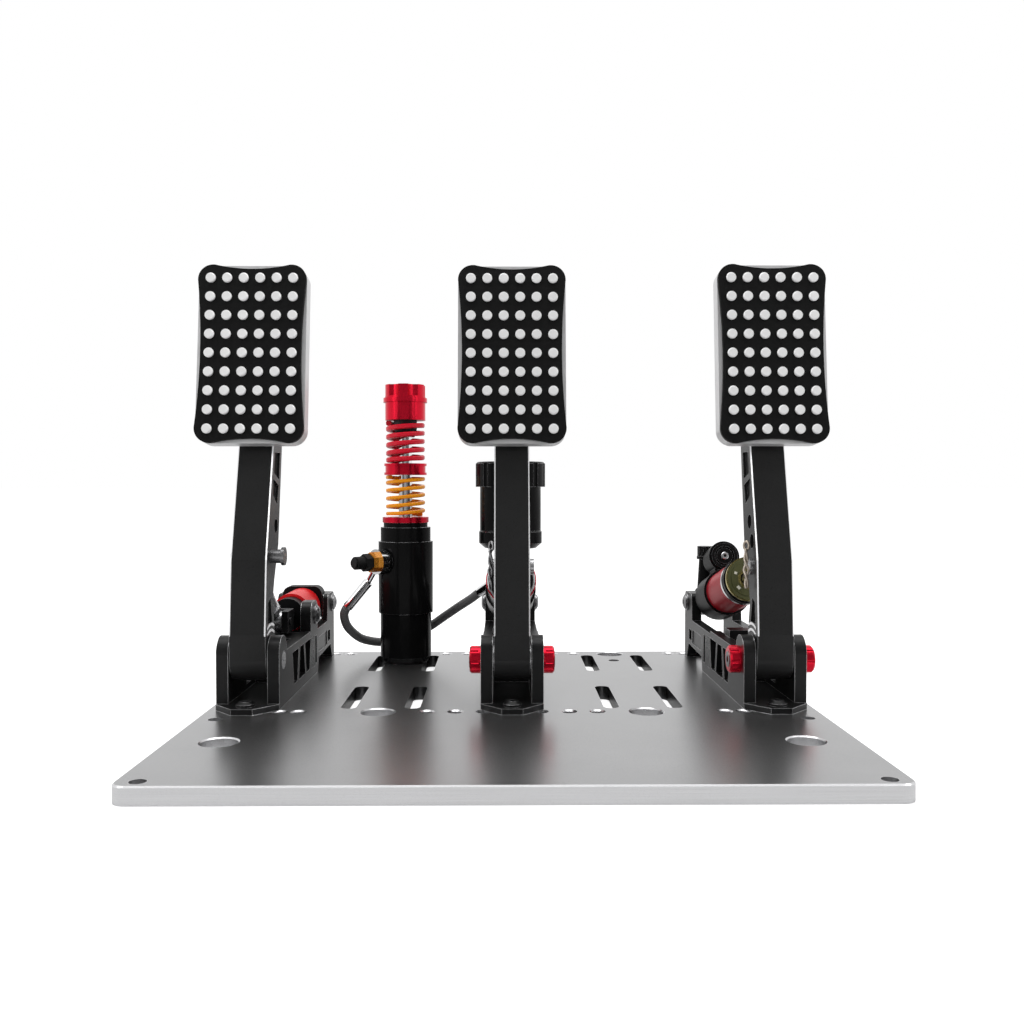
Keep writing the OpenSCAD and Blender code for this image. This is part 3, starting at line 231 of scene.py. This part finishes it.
def plate_finish():
    """Grey satin anodised faces, bare bright edges and hole walls, and painted shade on the walls in the
    slots.
    """
    made, tree, shader = material("plate_finish", Metallic=1.0)
    finish_surface(tree, shader, colour(0.34, 0.34, 0.345), colour(0.39, 0.39, 0.395), (0.26, 0.32),
                   2600.0, 0.00001)
    steepness = math_node(tree, "ABSOLUTE", normal_part(tree, "Z"))
    side = math_node(tree, "LESS_THAN", steepness, 0.93)
    upright = math_node(tree, "LESS_THAN", steepness, 0.3)
    brushed = noise(tree, 300.0, 2.0, (0.05, 0.05, 6.0))
    bare = mix(tree, brushed, colour(0.55, 0.55, 0.56), colour(0.70, 0.70, 0.71))
    # painted shade: the upright walls inside the long slots get a dark grey that stands in for the shade
    # there, while the hole walls stay bare metal
    from_middle = math_node(tree, "ABSOLUTE", place_part(tree, "X"))
    inner_x, outer_x, slot_half = 67.0 * MM, 110.0 * MM, 6.25 * MM
    inner_slots = between(tree, from_middle, inner_x - slot_half, inner_x + slot_half)
    outer_slots = between(tree, from_middle, outer_x - slot_half, outer_x + slot_half)
    slot_run = between(tree, place_part(tree, "Y"), -29.0 * MM, 176.0 * MM)
    inside = math_node(tree, "MULTIPLY", math_node(tree, "MAXIMUM", inner_slots, outer_slots), slot_run)
    slot_wall_painted_shade = math_node(tree, "MULTIPLY", inside, upright)
    recolour(tree, shader, side, mix(tree, slot_wall_painted_shade, bare, colour(0.15, 0.15, 0.153)))
    recolour(tree, shader, edge_mask(tree, 0.6 * MM), BRIGHT)
    return made


def black_anodised(name, edge_radius=0.0003, rough=(0.26, 0.40), edge=SILVER, shine=0.2,
                   dark=BLACK_DARK, light=BLACK_LIGHT):
    """Black anodised aluminium with bright broken edges."""
    made, tree, shader = material(name, IOR=1.5, Specular_IOR_Level=shine)
    finish_surface(tree, shader, dark, light, rough, 2200.0, 0.00001)
    worn = edge_mask(tree, edge_radius)
    recolour(tree, shader, worn, edge)
    tree.links.new(worn, shader.inputs["Metallic"])
    return made


def arm_finish():
    """Black anodised arm whose milled front chamfers are bare bright metal."""
    made = black_anodised("arm_finish", dark=colour(0.012, 0.012, 0.0122),
                          light=colour(0.018, 0.018, 0.0183))
    tree = made.node_tree
    shader = tree.nodes["Principled BSDF"]
    across = math_node(tree, "ABSOLUTE", normal_part(tree, "X"))
    milled = between(tree, across, 0.4, 0.93)
    recolour(tree, shader, milled, BRIGHT)
    bare = math_node(tree, "MAXIMUM", linked(shader, "Metallic"), milled)
    tree.links.new(bare, shader.inputs["Metallic"])
    return made


def red_anodised():
    made, tree, shader = material("red_anodised", Metallic=0.8, Specular_IOR_Level=0.2)
    finish_surface(tree, shader, RED_DARK, RED_LIGHT, (0.19, 0.24), 1800.0, 0.000003)
    return made


def can_finish(name, dark, light, black_front=None):
    """Satin red can. black_front is how far along the throttle's unit its black end reaches, in mm."""
    made, tree, shader = material(name, Metallic=0.15, Specular_IOR_Level=0.06)
    finish_surface(tree, shader, dark, light, (0.26, 0.38), 1800.0, 0.00001)
    if black_front:
        recolour(tree, shader, nearer_than(tree, black_front), BLACK_LIGHT)
    return made


def bright_metal(name, dark, light, rough, stretch=None, metallic=1.0):
    made, tree, shader = material(name, Metallic=metallic)
    finish_surface(tree, shader, dark, light, rough, 700.0, 0.000003, stretch)
    return made


def rod_finish():
    """Chrome rod of the spring unit, with a black rubber stop under the cap."""
    made = bright_metal("rod_finish", CHROME_DARK, CHROME_LIGHT, CHROME_ROUGH)
    tree = made.node_tree
    shader = tree.nodes["Principled BSDF"]
    stop_h = 14.0 * MM
    stop = math_node(tree, "GREATER_THAN", place_part(tree, "Z"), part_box("unit_cap")[0].z - stop_h)
    polish = linked(shader, "Roughness")
    recolour(tree, shader, stop, BLACK_LIGHT)
    tree.links.new(math_node(tree, "SUBTRACT", 1.0, stop), shader.inputs["Metallic"])
    rough = math_node(tree, "MAXIMUM", polish, math_node(tree, "MULTIPLY", stop, 0.6))
    tree.links.new(rough, shader.inputs["Roughness"])
    return made


def woven(tree, shader, run, turn, dark, light, grain_scale, height):
    """Two crossing sets of raised strands. run and turn are angles along and across them."""
    warp = math_node(tree, "SINE", math_node(tree, "ADD", run, turn))
    weft = math_node(tree, "SINE", math_node(tree, "SUBTRACT", run, turn))
    weave = math_node(tree, "MULTIPLY", warp, weft)
    share = spread(tree, weave, 0.0, 1.0, -1.0, 1.0)
    tree.links.new(mix(tree, share, dark, light), shader.inputs["Base Color"])
    tree.links.new(spread(tree, noise(tree, grain_scale), 0.38, 0.55), shader.inputs["Roughness"])
    bump(tree, shader, weave, height)


def pad_face_finish():
    """Black face with a fine diagonal twill."""
    made, tree, shader = material("pad_face_finish", IOR=1.5, Specular_IOR_Level=0.08)
    pitch = 0.0016
    run = math_node(tree, "MULTIPLY", place_part(tree, "X"), 2 * math.pi / pitch)
    turn = math_node(tree, "MULTIPLY", place_part(tree, "Z"), 2 * math.pi / pitch)
    woven(tree, shader, run, turn, colour(0.0015, 0.0015, 0.0015), colour(0.006, 0.006, 0.0062),
          900.0, 0.00012)
    return made


def painted(name, dark, light):
    """Gloss powder coat with a slight orange peel."""
    made, tree, shader = material(name, IOR=1.5, Specular_IOR_Level=0.2, Coat_Weight=0.12,
                                  Coat_Roughness=0.12)
    finish_surface(tree, shader, dark, light, (0.25, 0.38), 900.0, 0.00003)
    return made


def rubber():
    made, tree, shader = material("rubber", IOR=1.45, Specular_IOR_Level=0.2)
    finish_surface(tree, shader, colour(0.006, 0.006, 0.0062), colour(0.011, 0.011, 0.0113), (0.5, 0.65),
                   1500.0, 0.00004)
    return made


def circuit_board():
    """Olive solder mask, with pale chips where the part stands in front of the board's face."""
    made, tree, shader = material("circuit_board", IOR=1.5)
    finish_surface(tree, shader, colour(0.05, 0.055, 0.018), colour(0.09, 0.09, 0.030), (0.3, 0.45),
                   1200.0, 0.00002)
    board_face = 53.75
    recolour(tree, shader, nearer_than(tree, board_face), colour(0.62, 0.60, 0.50))
    return made


STEEL = bright_metal("steel", colour(0.48, 0.48, 0.49), colour(0.62, 0.62, 0.63), (0.22, 0.36))
POLISHED = bright_metal("polished", colour(0.70, 0.70, 0.71), colour(0.84, 0.84, 0.85), (0.12, 0.24),
                        (1.0, 1.0, 0.05))
CHROME = bright_metal("chrome", CHROME_DARK, CHROME_LIGHT, CHROME_ROUGH)
ROD = rod_finish()
GOLD = bright_metal("gold", colour(0.56, 0.47, 0.16), colour(0.62, 0.52, 0.19), (0.26, 0.30))
STUD = bright_metal("stud_metal", colour(0.74, 0.74, 0.74), colour(0.86, 0.86, 0.86), (0.36, 0.50),
                    None, 0.3)
PAD_BACK = bright_metal("pad_back_metal", colour(0.60, 0.60, 0.605), colour(0.70, 0.70, 0.705),
                        (0.34, 0.46), (1.0, 1.0, 0.05), 0.55)
BLACK = black_anodised("black_anodised")
RAIL = black_anodised("rail_finish", 0.0005, (0.28, 0.40), BRIGHT, 0.24)
GLOSS = black_anodised("gloss_black", 0.0003, (0.13, 0.20), SILVER, 0.07)
DARK_STEEL = bright_metal("dark_steel", colour(0.20, 0.20, 0.205), colour(0.32, 0.32, 0.325), (0.25, 0.38))
ARM = arm_finish()
RED = red_anodised()
THROTTLE_CAN = can_finish("throttle_can_finish", colour(0.44, 0.005, 0.016), colour(0.54, 0.008, 0.024),
                          67.6)
CLUTCH_CAN = can_finish("clutch_can_finish", colour(0.78, 0.012, 0.016), colour(0.88, 0.020, 0.024))
DEEP_BLACK = black_anodised("deep_black", 0.0003, (0.30, 0.45), colour(0.30, 0.30, 0.31), 0.07)
PLATE = plate_finish()
PAD_FACE = pad_face_finish()
ORANGE_PAINT = painted("orange_paint", colour(0.90, 0.31, 0.006), colour(0.98, 0.38, 0.010))
RED_PAINT = painted("red_paint", colour(0.60, 0.006, 0.022), colour(0.72, 0.012, 0.036))
ORANGE_METAL = bright_metal("orange_metal", colour(0.70, 0.25, 0.02), colour(0.85, 0.36, 0.04),
                            (0.2, 0.32), None, 0.6)
RUBBER = rubber()
BOARD = circuit_board()
WIRE = bright_metal("tinned_wire", colour(0.40, 0.34, 0.28), colour(0.55, 0.48, 0.40), (0.28, 0.42),
                    None, 0.6)

LOOKS = {
    "base_plate": PLATE, "chassis_bolts": BLACK, "pivot_axles": STEEL, "axle_caps": RED,
    "unit_bolts": DARK_STEEL,
    "clutch_link": STEEL, "clutch_plunger": DEEP_BLACK, "clutch_can": CLUTCH_CAN,
    "clutch_blocks": DEEP_BLACK, "clutch_return_spring": STEEL,
    "brake_pushrod": STEEL, "brake_can": BLACK, "brake_gland": BLACK, "brake_cradle": BLACK,
    "reservoir_body": GLOSS, "reservoir_cap": GLOSS,
    "throttle_rod": STEEL, "throttle_can": THROTTLE_CAN, "throttle_flange": BLACK, "throttle_gland": GOLD,
    "throttle_sensor_board": BOARD, "throttle_cradle": DEEP_BLACK, "throttle_piggyback": DEEP_BLACK,
    "throttle_return_spring": STEEL, "damper_knob": BLACK,
    "unit_body": GLOSS, "unit_sleeve": GLOSS, "unit_gland": GLOSS, "spring_seat": RED,
    "lower_spring": ORANGE_PAINT, "mid_collar": RED, "upper_spring": RED_PAINT, "unit_rod": ROD,
    "unit_cap": RED, "banjo_bolt": ORANGE_METAL, "hose_fittings": CHROME, "bleed_nipple": RUBBER,
    "brake_hose": RUBBER,
}
for pedal in PEDAL_X:
    LOOKS.update({f"{pedal}_chassis": RAIL, f"{pedal}_arm": ARM, f"{pedal}_pad_back": PAD_BACK,
                  f"{pedal}_pad_face": PAD_FACE, f"{pedal}_studs": STUD, f"{pedal}_bushes": STEEL,
                  f"{pedal}_pin": STEEL})
LOOKS["clutch_pin"] = DARK_STEEL
for name, look in LOOKS.items():
    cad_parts[name].data.materials.clear()
    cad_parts[name].data.materials.append(look)


# Soft pieces

def add_mesh(name, points, faces, look, smooth=True):
    data = bpy.data.meshes.new(name)
    data.from_pydata(points, [], faces)
    data.materials.append(look)
    if smooth:
        data.polygons.foreach_set("use_smooth", [True] * len(data.polygons))
    data.update()
    made = bpy.data.objects.new(name, data)
    bpy.context.collection.objects.link(made)
    return made


def loft(rings):
    """Faces that join rings of equal length, with a cap on both ends."""
    sides = len(rings[0])
    points = [p for ring in rings for p in ring]
    faces = []
    for i in range(len(rings) - 1):
        for k in range(sides):
            a = i * sides + k
            b = i * sides + (k + 1) % sides
            faces.append((a, b, b + sides, a + sides))
    last = (len(rings) - 1) * sides
    faces.append(tuple(range(sides - 1, -1, -1)))
    faces.append(tuple(last + k for k in range(sides)))
    return points, faces


def coil(name, node, look, place, way, height, outer_d, wire_w, wire_h, curls, start_turn=0.0):
    """Coil of flat wire with closed ends, in the place of a CAD coil. It stands on place, along way."""
    turn_to_way = Vector((0, 0, 1)).rotation_difference(Vector(way)).to_matrix()
    radius = (outer_d - wire_w) / 2
    soft = min(wire_w, wire_h) * 0.22
    section = []
    for sx, sz in ((1, 1), (-1, 1), (-1, -1), (1, -1)):
        corner = ((sx * (wire_w / 2), sz * (wire_h / 2 - soft)),
                  (sx * (wire_w / 2 - soft), sz * wire_h / 2))
        section.extend(corner if sx * sz > 0 else corner[::-1])
    steps_per_curl = 40
    steps = int(curls * steps_per_curl)
    flat_turns = 0.6
    flat_rise = 0.55 * wire_h
    rings = []
    for i in range(steps + 1):
        turns = curls * i / steps
        # the ends lie nearly flat, the turns between them share the rise evenly
        active = min(max((turns - flat_turns) / (curls - 2 * flat_turns), 0.0), 1.0)
        lead = min(turns, flat_turns) / flat_turns * flat_rise
        trail = max(turns - curls + flat_turns, 0.0) / flat_turns * flat_rise
        z = wire_h / 2 + lead + trail + active * (height - wire_h - 2 * flat_rise)
        angle = 2 * math.pi * turns + start_turn
        out = Vector((math.cos(angle), math.sin(angle), 0.0))
        rings.append([place + turn_to_way @ (out * (radius + w) + Vector((0, 0, z + h)))
                      for w, h in section])
    points, faces = loft(rings)
    made = add_mesh(name, points, faces, look, smooth=False)
    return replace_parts(made, node)


def upright_coil(name, node, look, outer_d, wire_w, wire_h, curls, start_turn):
    """Coil of the spring unit, standing between the faces that hold the CAD coil."""
    low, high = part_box(node)
    gap = 0.1 * MM
    place = Vector(((low.x + high.x) / 2, (low.y + high.y) / 2, low.z - gap))
    height = high.z - low.z + 2 * gap
    return coil(name, node, look, place, (0, 0, 1), height, outer_d, wire_w, wire_h, curls, start_turn)


lower_coil = upright_coil("lower_spring_coil", "lower_spring", ORANGE_PAINT, 0.033, 0.0042, 0.0030,
                          5.5, 0.6)
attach(lower_coil, "base")
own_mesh(lower_coil)
upper_coil = upright_coil("upper_spring_coil", "upper_spring", RED_PAINT, 0.0326, 0.0046, 0.0040,
                          5.2, 2.0)
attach(upper_coil, "unit_mid")
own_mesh(upper_coil)

# return springs inside the cans, as fixed coils on the base; the real ones shorten as their piston comes in
WIRE_D = 1.4 * MM
clutch_front = Vector((-PEDAL_PITCH, 0.1067, PLATE_TOP + 0.0475))
clutch_coil = coil("clutch_return_coil", "clutch_return_spring", STEEL, clutch_front, (0, 1, 0),
                   45.1 * MM, 21 * MM, WIRE_D, WIRE_D, 6)
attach(clutch_coil, "base")
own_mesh(clutch_coil)
throttle_coil = coil("throttle_return_coil", "throttle_return_spring", STEEL, throttle_unit.at(92.2),
                     throttle_unit.along, 57.4 * MM, 25 * MM, WIRE_D, WIRE_D, 8)
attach(throttle_coil, "base")
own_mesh(throttle_coil)


def smooth_line(knots, steps):
    """Catmull-Rom line through the knots."""
    line = []
    count = len(knots)
    for i in range(count - 1):
        before = knots[max(i - 1, 0)]
        start, end = knots[i], knots[i + 1]
        after = knots[min(i + 2, count - 1)]
        square_part = 2 * before - 5 * start + 4 * end - after
        cube_part = 3 * start - before - 3 * end + after
        for k in range(steps):
            t = k / steps
            line.append(0.5 * (2 * start + (end - before) * t + square_part * t * t + cube_part * t ** 3))
    line.append(knots[-1])
    return line


def tube(name, line, diameter, look, sides=16):
    """Round tube along a line, with a UV map of metres along it and turns around it."""
    last = len(line) - 1
    ways = [(line[min(i + 1, last)] - line[max(i - 1, 0)]).normalized() for i in range(last + 1)]
    turns = [2 * math.pi * k / sides for k in range(sides)]
    side = ways[0].orthogonal().normalized()
    rings = []
    along = [0.0]
    for i, (place, way) in enumerate(zip(line, ways)):
        side = (side - way * side.dot(way)).normalized()
        up = way.cross(side)
        rings.append([place + diameter / 2 * (side * math.cos(turn) + up * math.sin(turn))
                      for turn in turns])
        if i:
            along.append(along[-1] + (place - line[i - 1]).length)
    points, faces = loft(rings)
    made = add_mesh(name, points, faces, look)
    layer = made.data.uv_layers.new(name="metres_and_turns")
    for face in made.data.polygons:
        corners = [(corner, made.data.loops[corner].vertex_index) for corner in face.loop_indices]
        at_seam = any(index % sides == sides - 1 for _, index in corners)
        for corner, index in corners:
            turn = (index % sides) / sides
            if turn == 0 and at_seam:
                turn = 1.0
            layer.data[corner].uv = (along[index // sides], turn)
    return made, along[-1]


def braid_finish(name, dark, light, pitch, strands):
    """Rubber cover over a woven braid: two crossing sets of raised strands."""
    made, tree, shader = material(name, IOR=1.45)
    split = new_node(tree, "ShaderNodeSeparateXYZ", Vector=coordinates(tree, "UV"))
    run = math_node(tree, "MULTIPLY", split.outputs["X"], 2 * math.pi / pitch)
    turn = math_node(tree, "MULTIPLY", split.outputs["Y"], 2 * math.pi * strands)
    woven(tree, shader, run, turn, dark, light, 1500.0, 0.00010)
    return made


HOSE_LOOK = braid_finish("hose_braid", colour(0.11, 0.11, 0.112), colour(0.20, 0.20, 0.203), 0.0032, 8)
HOSE_KNOTS = [Vector((x, y, z)) * MM + Vector((0, 0, PLATE_TOP)) for x, y, z in (
    (-137.3, 147, 46.4), (-139.2, 147.3, 44.1), (-140.8, 149, 38.5), (-138.3, 153, 28.5), (-130, 161, 18.5),
    (-121.5, 169, 14), (-112, 175, 12), (-100, 179, 12), (-88, 180, 16), (-78, 178, 21), (-68, 175, 27),
    (-56, 168, 36), (-44, 159, 45), (-33, 150, 53), (-26.5, 142.3, 58.8), (-25, 140, 60))]
hose_line = smooth_line(HOSE_KNOTS, 6)
HOSE_D = 7.4 * MM
hose, hose_length = tube("hose", hose_line, HOSE_D, HOSE_LOOK)
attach(hose, "base")
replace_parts(hose, "brake_hose")


# Small fitted details

def mend_mesh(made):
    """Joins doubled points, drops faces without area and turns all faces outwards."""
    mesh = bmesh.new()
    mesh.from_mesh(made.data)
    bmesh.ops.remove_doubles(mesh, verts=mesh.verts, dist=1e-7)
    bmesh.ops.dissolve_degenerate(mesh, edges=mesh.edges, dist=1e-7)
    bmesh.ops.recalc_face_normals(mesh, faces=mesh.faces)
    mesh.to_mesh(made.data)
    mesh.free()
    return made


def round_piece(name, place, way, outer, inner, length, look, body, sides=48, edge=0.0):
    """Disc or ring of that length along way, starting at place. edge is a chamfer on its far rim."""
    turn = Vector((0, 0, 1)).rotation_difference(Vector(way)).to_matrix().to_4x4()
    outline = [(inner / 2, 0), (outer / 2, 0), (outer / 2, length - edge), (outer / 2 - edge, length),
               (inner / 2, length)]
    outline = [p for i, p in enumerate(outline) if i == 0 or p != outline[i - 1]]
    count = len(outline)
    points = []
    for k in range(sides):
        angle = 2 * math.pi * k / sides
        points.extend(turn @ Vector((r * math.cos(angle), r * math.sin(angle), h)) + Vector(place)
                      for r, h in outline)
    faces = []
    for k in range(sides):
        here, there = k * count, (k + 1) % sides * count
        for i in range(count):
            following = (i + 1) % count
            faces.append((here + i, there + i, there + following, here + following))
    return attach(mend_mesh(add_mesh(name, points, faces, look, smooth=False)), body)


def can_ring(name, unit, along, outer, inner, length, look, sides=64, edge=0.0, up=0.0):
    """Ring on a can's unit, from along towards the arm. All lengths in mm."""
    return round_piece(name, unit.at(along, up), -unit.along, outer * MM, inner * MM, length * MM, look,
                       "base", sides, edge * MM)


can_ring("brake_can_rim", brake_unit, 63.5, 37.6, 35.9, 2.4, RED, edge=0.4)
can_ring("brake_can_lip", brake_unit, 61.9, 35.8, 33.2, 1.6, POLISHED, edge=0.4)
can_ring("throttle_can_band", throttle_unit, 71.2, 34.8, 33.9, 3.6, POLISHED)
can_ring("board_rim", throttle_unit, 55.4, 31.4, 26.1, 1.1, BOARD)
can_ring("piggyback_screw", throttle_unit, 127.0, 6.2, 2.6, 1.6, POLISHED, 40, 0.5, 30.0)
can_ring("piggyback_socket", throttle_unit, 127.0, 2.6, 0.0, 0.5, BLACK, 6, 0.0, 30.0)

CAP_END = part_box("axle_caps")[1].x - PEDAL_PITCH
for pedal in ("brake", "throttle"):
    for side, way in (("left", -1), ("right", 1)):
        face = Vector((PEDAL_X[pedal] + way * CAP_END, PIVOT_Y, PIVOT_Z))
        round_piece(f"{pedal}_axle_screw_{side}", face, (way, 0, 0), 10.6 * MM, 4.6 * MM, 0.4 * MM,
                    DARK_STEEL, "base")


def boss_rims(pedal, x):
    """Bright milled rims on both sides of an arm: one round its pivot boss, one under its lowest pocket."""
    face, proud, half_w = 12.0 * MM, 0.3 * MM, 0.9 * MM
    section = ((face, -half_w), (face + proud, -half_w), (face + proud, half_w), (face, half_w))
    steps = 16
    points = []
    faces = []
    for side in (-1, 1):
        for radius, half_turn in ((20.1 * MM, 30.0), (24.1 * MM, 24.0)):
            rings = []
            for i in range(steps + 1):
                turn = math.radians(half_turn * (2 * i / steps - 1))
                out = Vector((0, math.sin(turn), math.cos(turn)))
                rings.append([Vector((x + side * depth, PIVOT_Y, PIVOT_Z)) + out * (radius + shift)
                              for depth, shift in section])
            new_points, new_faces = loft(rings)
            faces.extend(tuple(len(points) + k for k in corners) for corners in new_faces)
            points.extend(new_points)
    made = add_mesh(f"{pedal}_boss_rims", points, faces, POLISHED, smooth=False)
    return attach(mend_mesh(made), f"{pedal}_pedal")


for pedal, x in PEDAL_X.items():
    boss_rims(pedal, x)


def wire_clip(name, middle, body, look):
    """Wire clip beside an arm's pin: two strands that cross, part round the pin and meet in a top loop."""
    up = Vector((0, 0.10, 1)).normalized()
    out = Vector((-1, -1, 0.10)).normalized()
    side = out.cross(up)
    reach, strand, loop_r, twist_r = 0.0131, 0.0018, 0.0019, 0.00085
    twists = 1.5
    steps, loop_steps = 60, 24

    def on_strand(t, start):
        angle = 2 * math.pi * twists * t + start
        bulge = twist_r * (1 + 0.9 * math.exp(-((t - 0.5) / 0.16) ** 2))
        round_axis = out * twist_r * math.cos(angle) + side * bulge * math.sin(angle)
        return middle + up * (2 * t - 1) * reach + round_axis

    line = [on_strand(i / steps, 0.0) for i in range(steps + 1)]
    top = line[-1]
    for i in range(1, loop_steps):
        angle = 2 * math.pi * i / loop_steps
        line.append(top + up * loop_r * 1.5 * (1 - math.cos(angle)) + side * loop_r * math.sin(angle))
    line.extend(on_strand(i / steps, math.pi) for i in range(steps, -1, -1))
    made, _ = tube(name, line, strand, look, 10)
    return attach(made, body)


PIN_Z = PLATE_TOP + 0.0921
wire_clip("throttle_wire_clip", Vector((PEDAL_PITCH - 0.0158, -0.0148, PIN_Z)), "throttle_pedal", WIRE)
wire_clip("brake_wire_clip", Vector((-0.0146, -0.0206, PIN_Z)), "brake_pedal", DARK_STEEL)


# Stage, light and camera

def plane(name, width, depth, place, look, turn=(0.0, 0.0, 0.0)):
    w, d = width / 2, depth / 2
    corners = [(-w, -d, 0), (w, -d, 0), (w, d, 0), (-w, d, 0)]
    made = add_mesh(name, corners, [(0, 1, 2, 3)], look, smooth=False)
    made.location = place
    made.rotation_euler = turn
    return made


def floor_finish():
    """White floor that runs into the white background and still takes a soft shadow."""
    made, tree, shader = material("floor_finish", Roughness=0.9, Specular_IOR_Level=0.0,
                                  Base_Color=colour(0.8, 0.8, 0.8))
    seen_straight = tree.nodes.new("ShaderNodeLightPath").outputs["Is Camera Ray"]
    glow = new_node(tree, "ShaderNodeEmission", Color=colour(1.0, 1.0, 1.0),
                    Strength=math_node(tree, "MULTIPLY", seen_straight, 0.72))
    both = new_node(tree, "ShaderNodeAddShader", i0=glow.outputs[0], i1=shader.outputs[0])
    tree.links.new(both.outputs[0], tree.nodes["Material Output"].inputs["Surface"])
    return made


plane("floor", 60.0, 60.0, (0.0, 20.0, -0.0003), floor_finish())
# a grey studio in front of the object, seen only in its shiny faces
CARD = material("card_finish", Roughness=1.0, Specular_IOR_Level=0.0,
                Base_Color=colour(0.40, 0.40, 0.40))[0]
card = plane("grey_card", 5.0, 2.6, (0.0, -1.5, 1.3), CARD, (math.radians(90), 0.0, 0.0))
card.visible_camera = False
card.visible_diffuse = False
card.visible_shadow = False
card.visible_transmission = False


def area_light(name, place, aim, width, depth, power):
    data = bpy.data.lights.new(name, "AREA")
    data.shape = "RECTANGLE"
    data.size = width
    data.size_y = depth
    data.energy = power
    made = bpy.data.objects.new(name, data)
    made.location = place
    made.rotation_euler = (Vector(aim) - Vector(place)).to_track_quat("-Z", "Y").to_euler()
    bpy.context.collection.objects.link(made)
    return made


area_light("top_box", (0.0, 0.05, 1.3), (0.0, 0.05, 0.0), 1.2, 0.9, 9.0)
area_light("left_box", (-1.1, -0.7, 0.8), (0.0, 0.05, 0.1), 0.7, 0.9, 7.0)
area_light("right_box", (1.1, -0.6, 0.8), (0.0, 0.05, 0.1), 0.7, 0.9, 6.0)

world = bpy.data.worlds.new("white_room")
bpy.context.scene.world = world
world.use_nodes = True
sky = world.node_tree
backdrop = sky.nodes["Background"]
backdrop.inputs["Color"].default_value = colour(1.0, 1.0, 1.0)
rays = sky.nodes.new("ShaderNodeLightPath")
seen = math_node(sky, "ADD", rays.outputs["Is Camera Ray"], rays.outputs["Is Glossy Ray"])
seen = math_node(sky, "ADD", seen, rays.outputs["Is Transmission Ray"], clamp=True)
sky.links.new(spread(sky, seen, 0.45, 1.0, 0.0, 1.0), backdrop.inputs["Strength"])

camera_data = bpy.data.cameras.new("camera")
camera_data.lens = 34.1
camera_data.sensor_width = 36.0
camera_data.clip_start = 0.01
camera = bpy.data.objects.new("camera", camera_data)
camera.location = (-0.0065, -0.673, 0.1586)
camera.rotation_euler = (math.radians(90 - 1.53), 0.0, math.radians(-0.57))
bpy.context.collection.objects.link(camera)
bpy.context.scene.camera = camera
bpy.context.scene.view_settings.view_transform = "Standard"
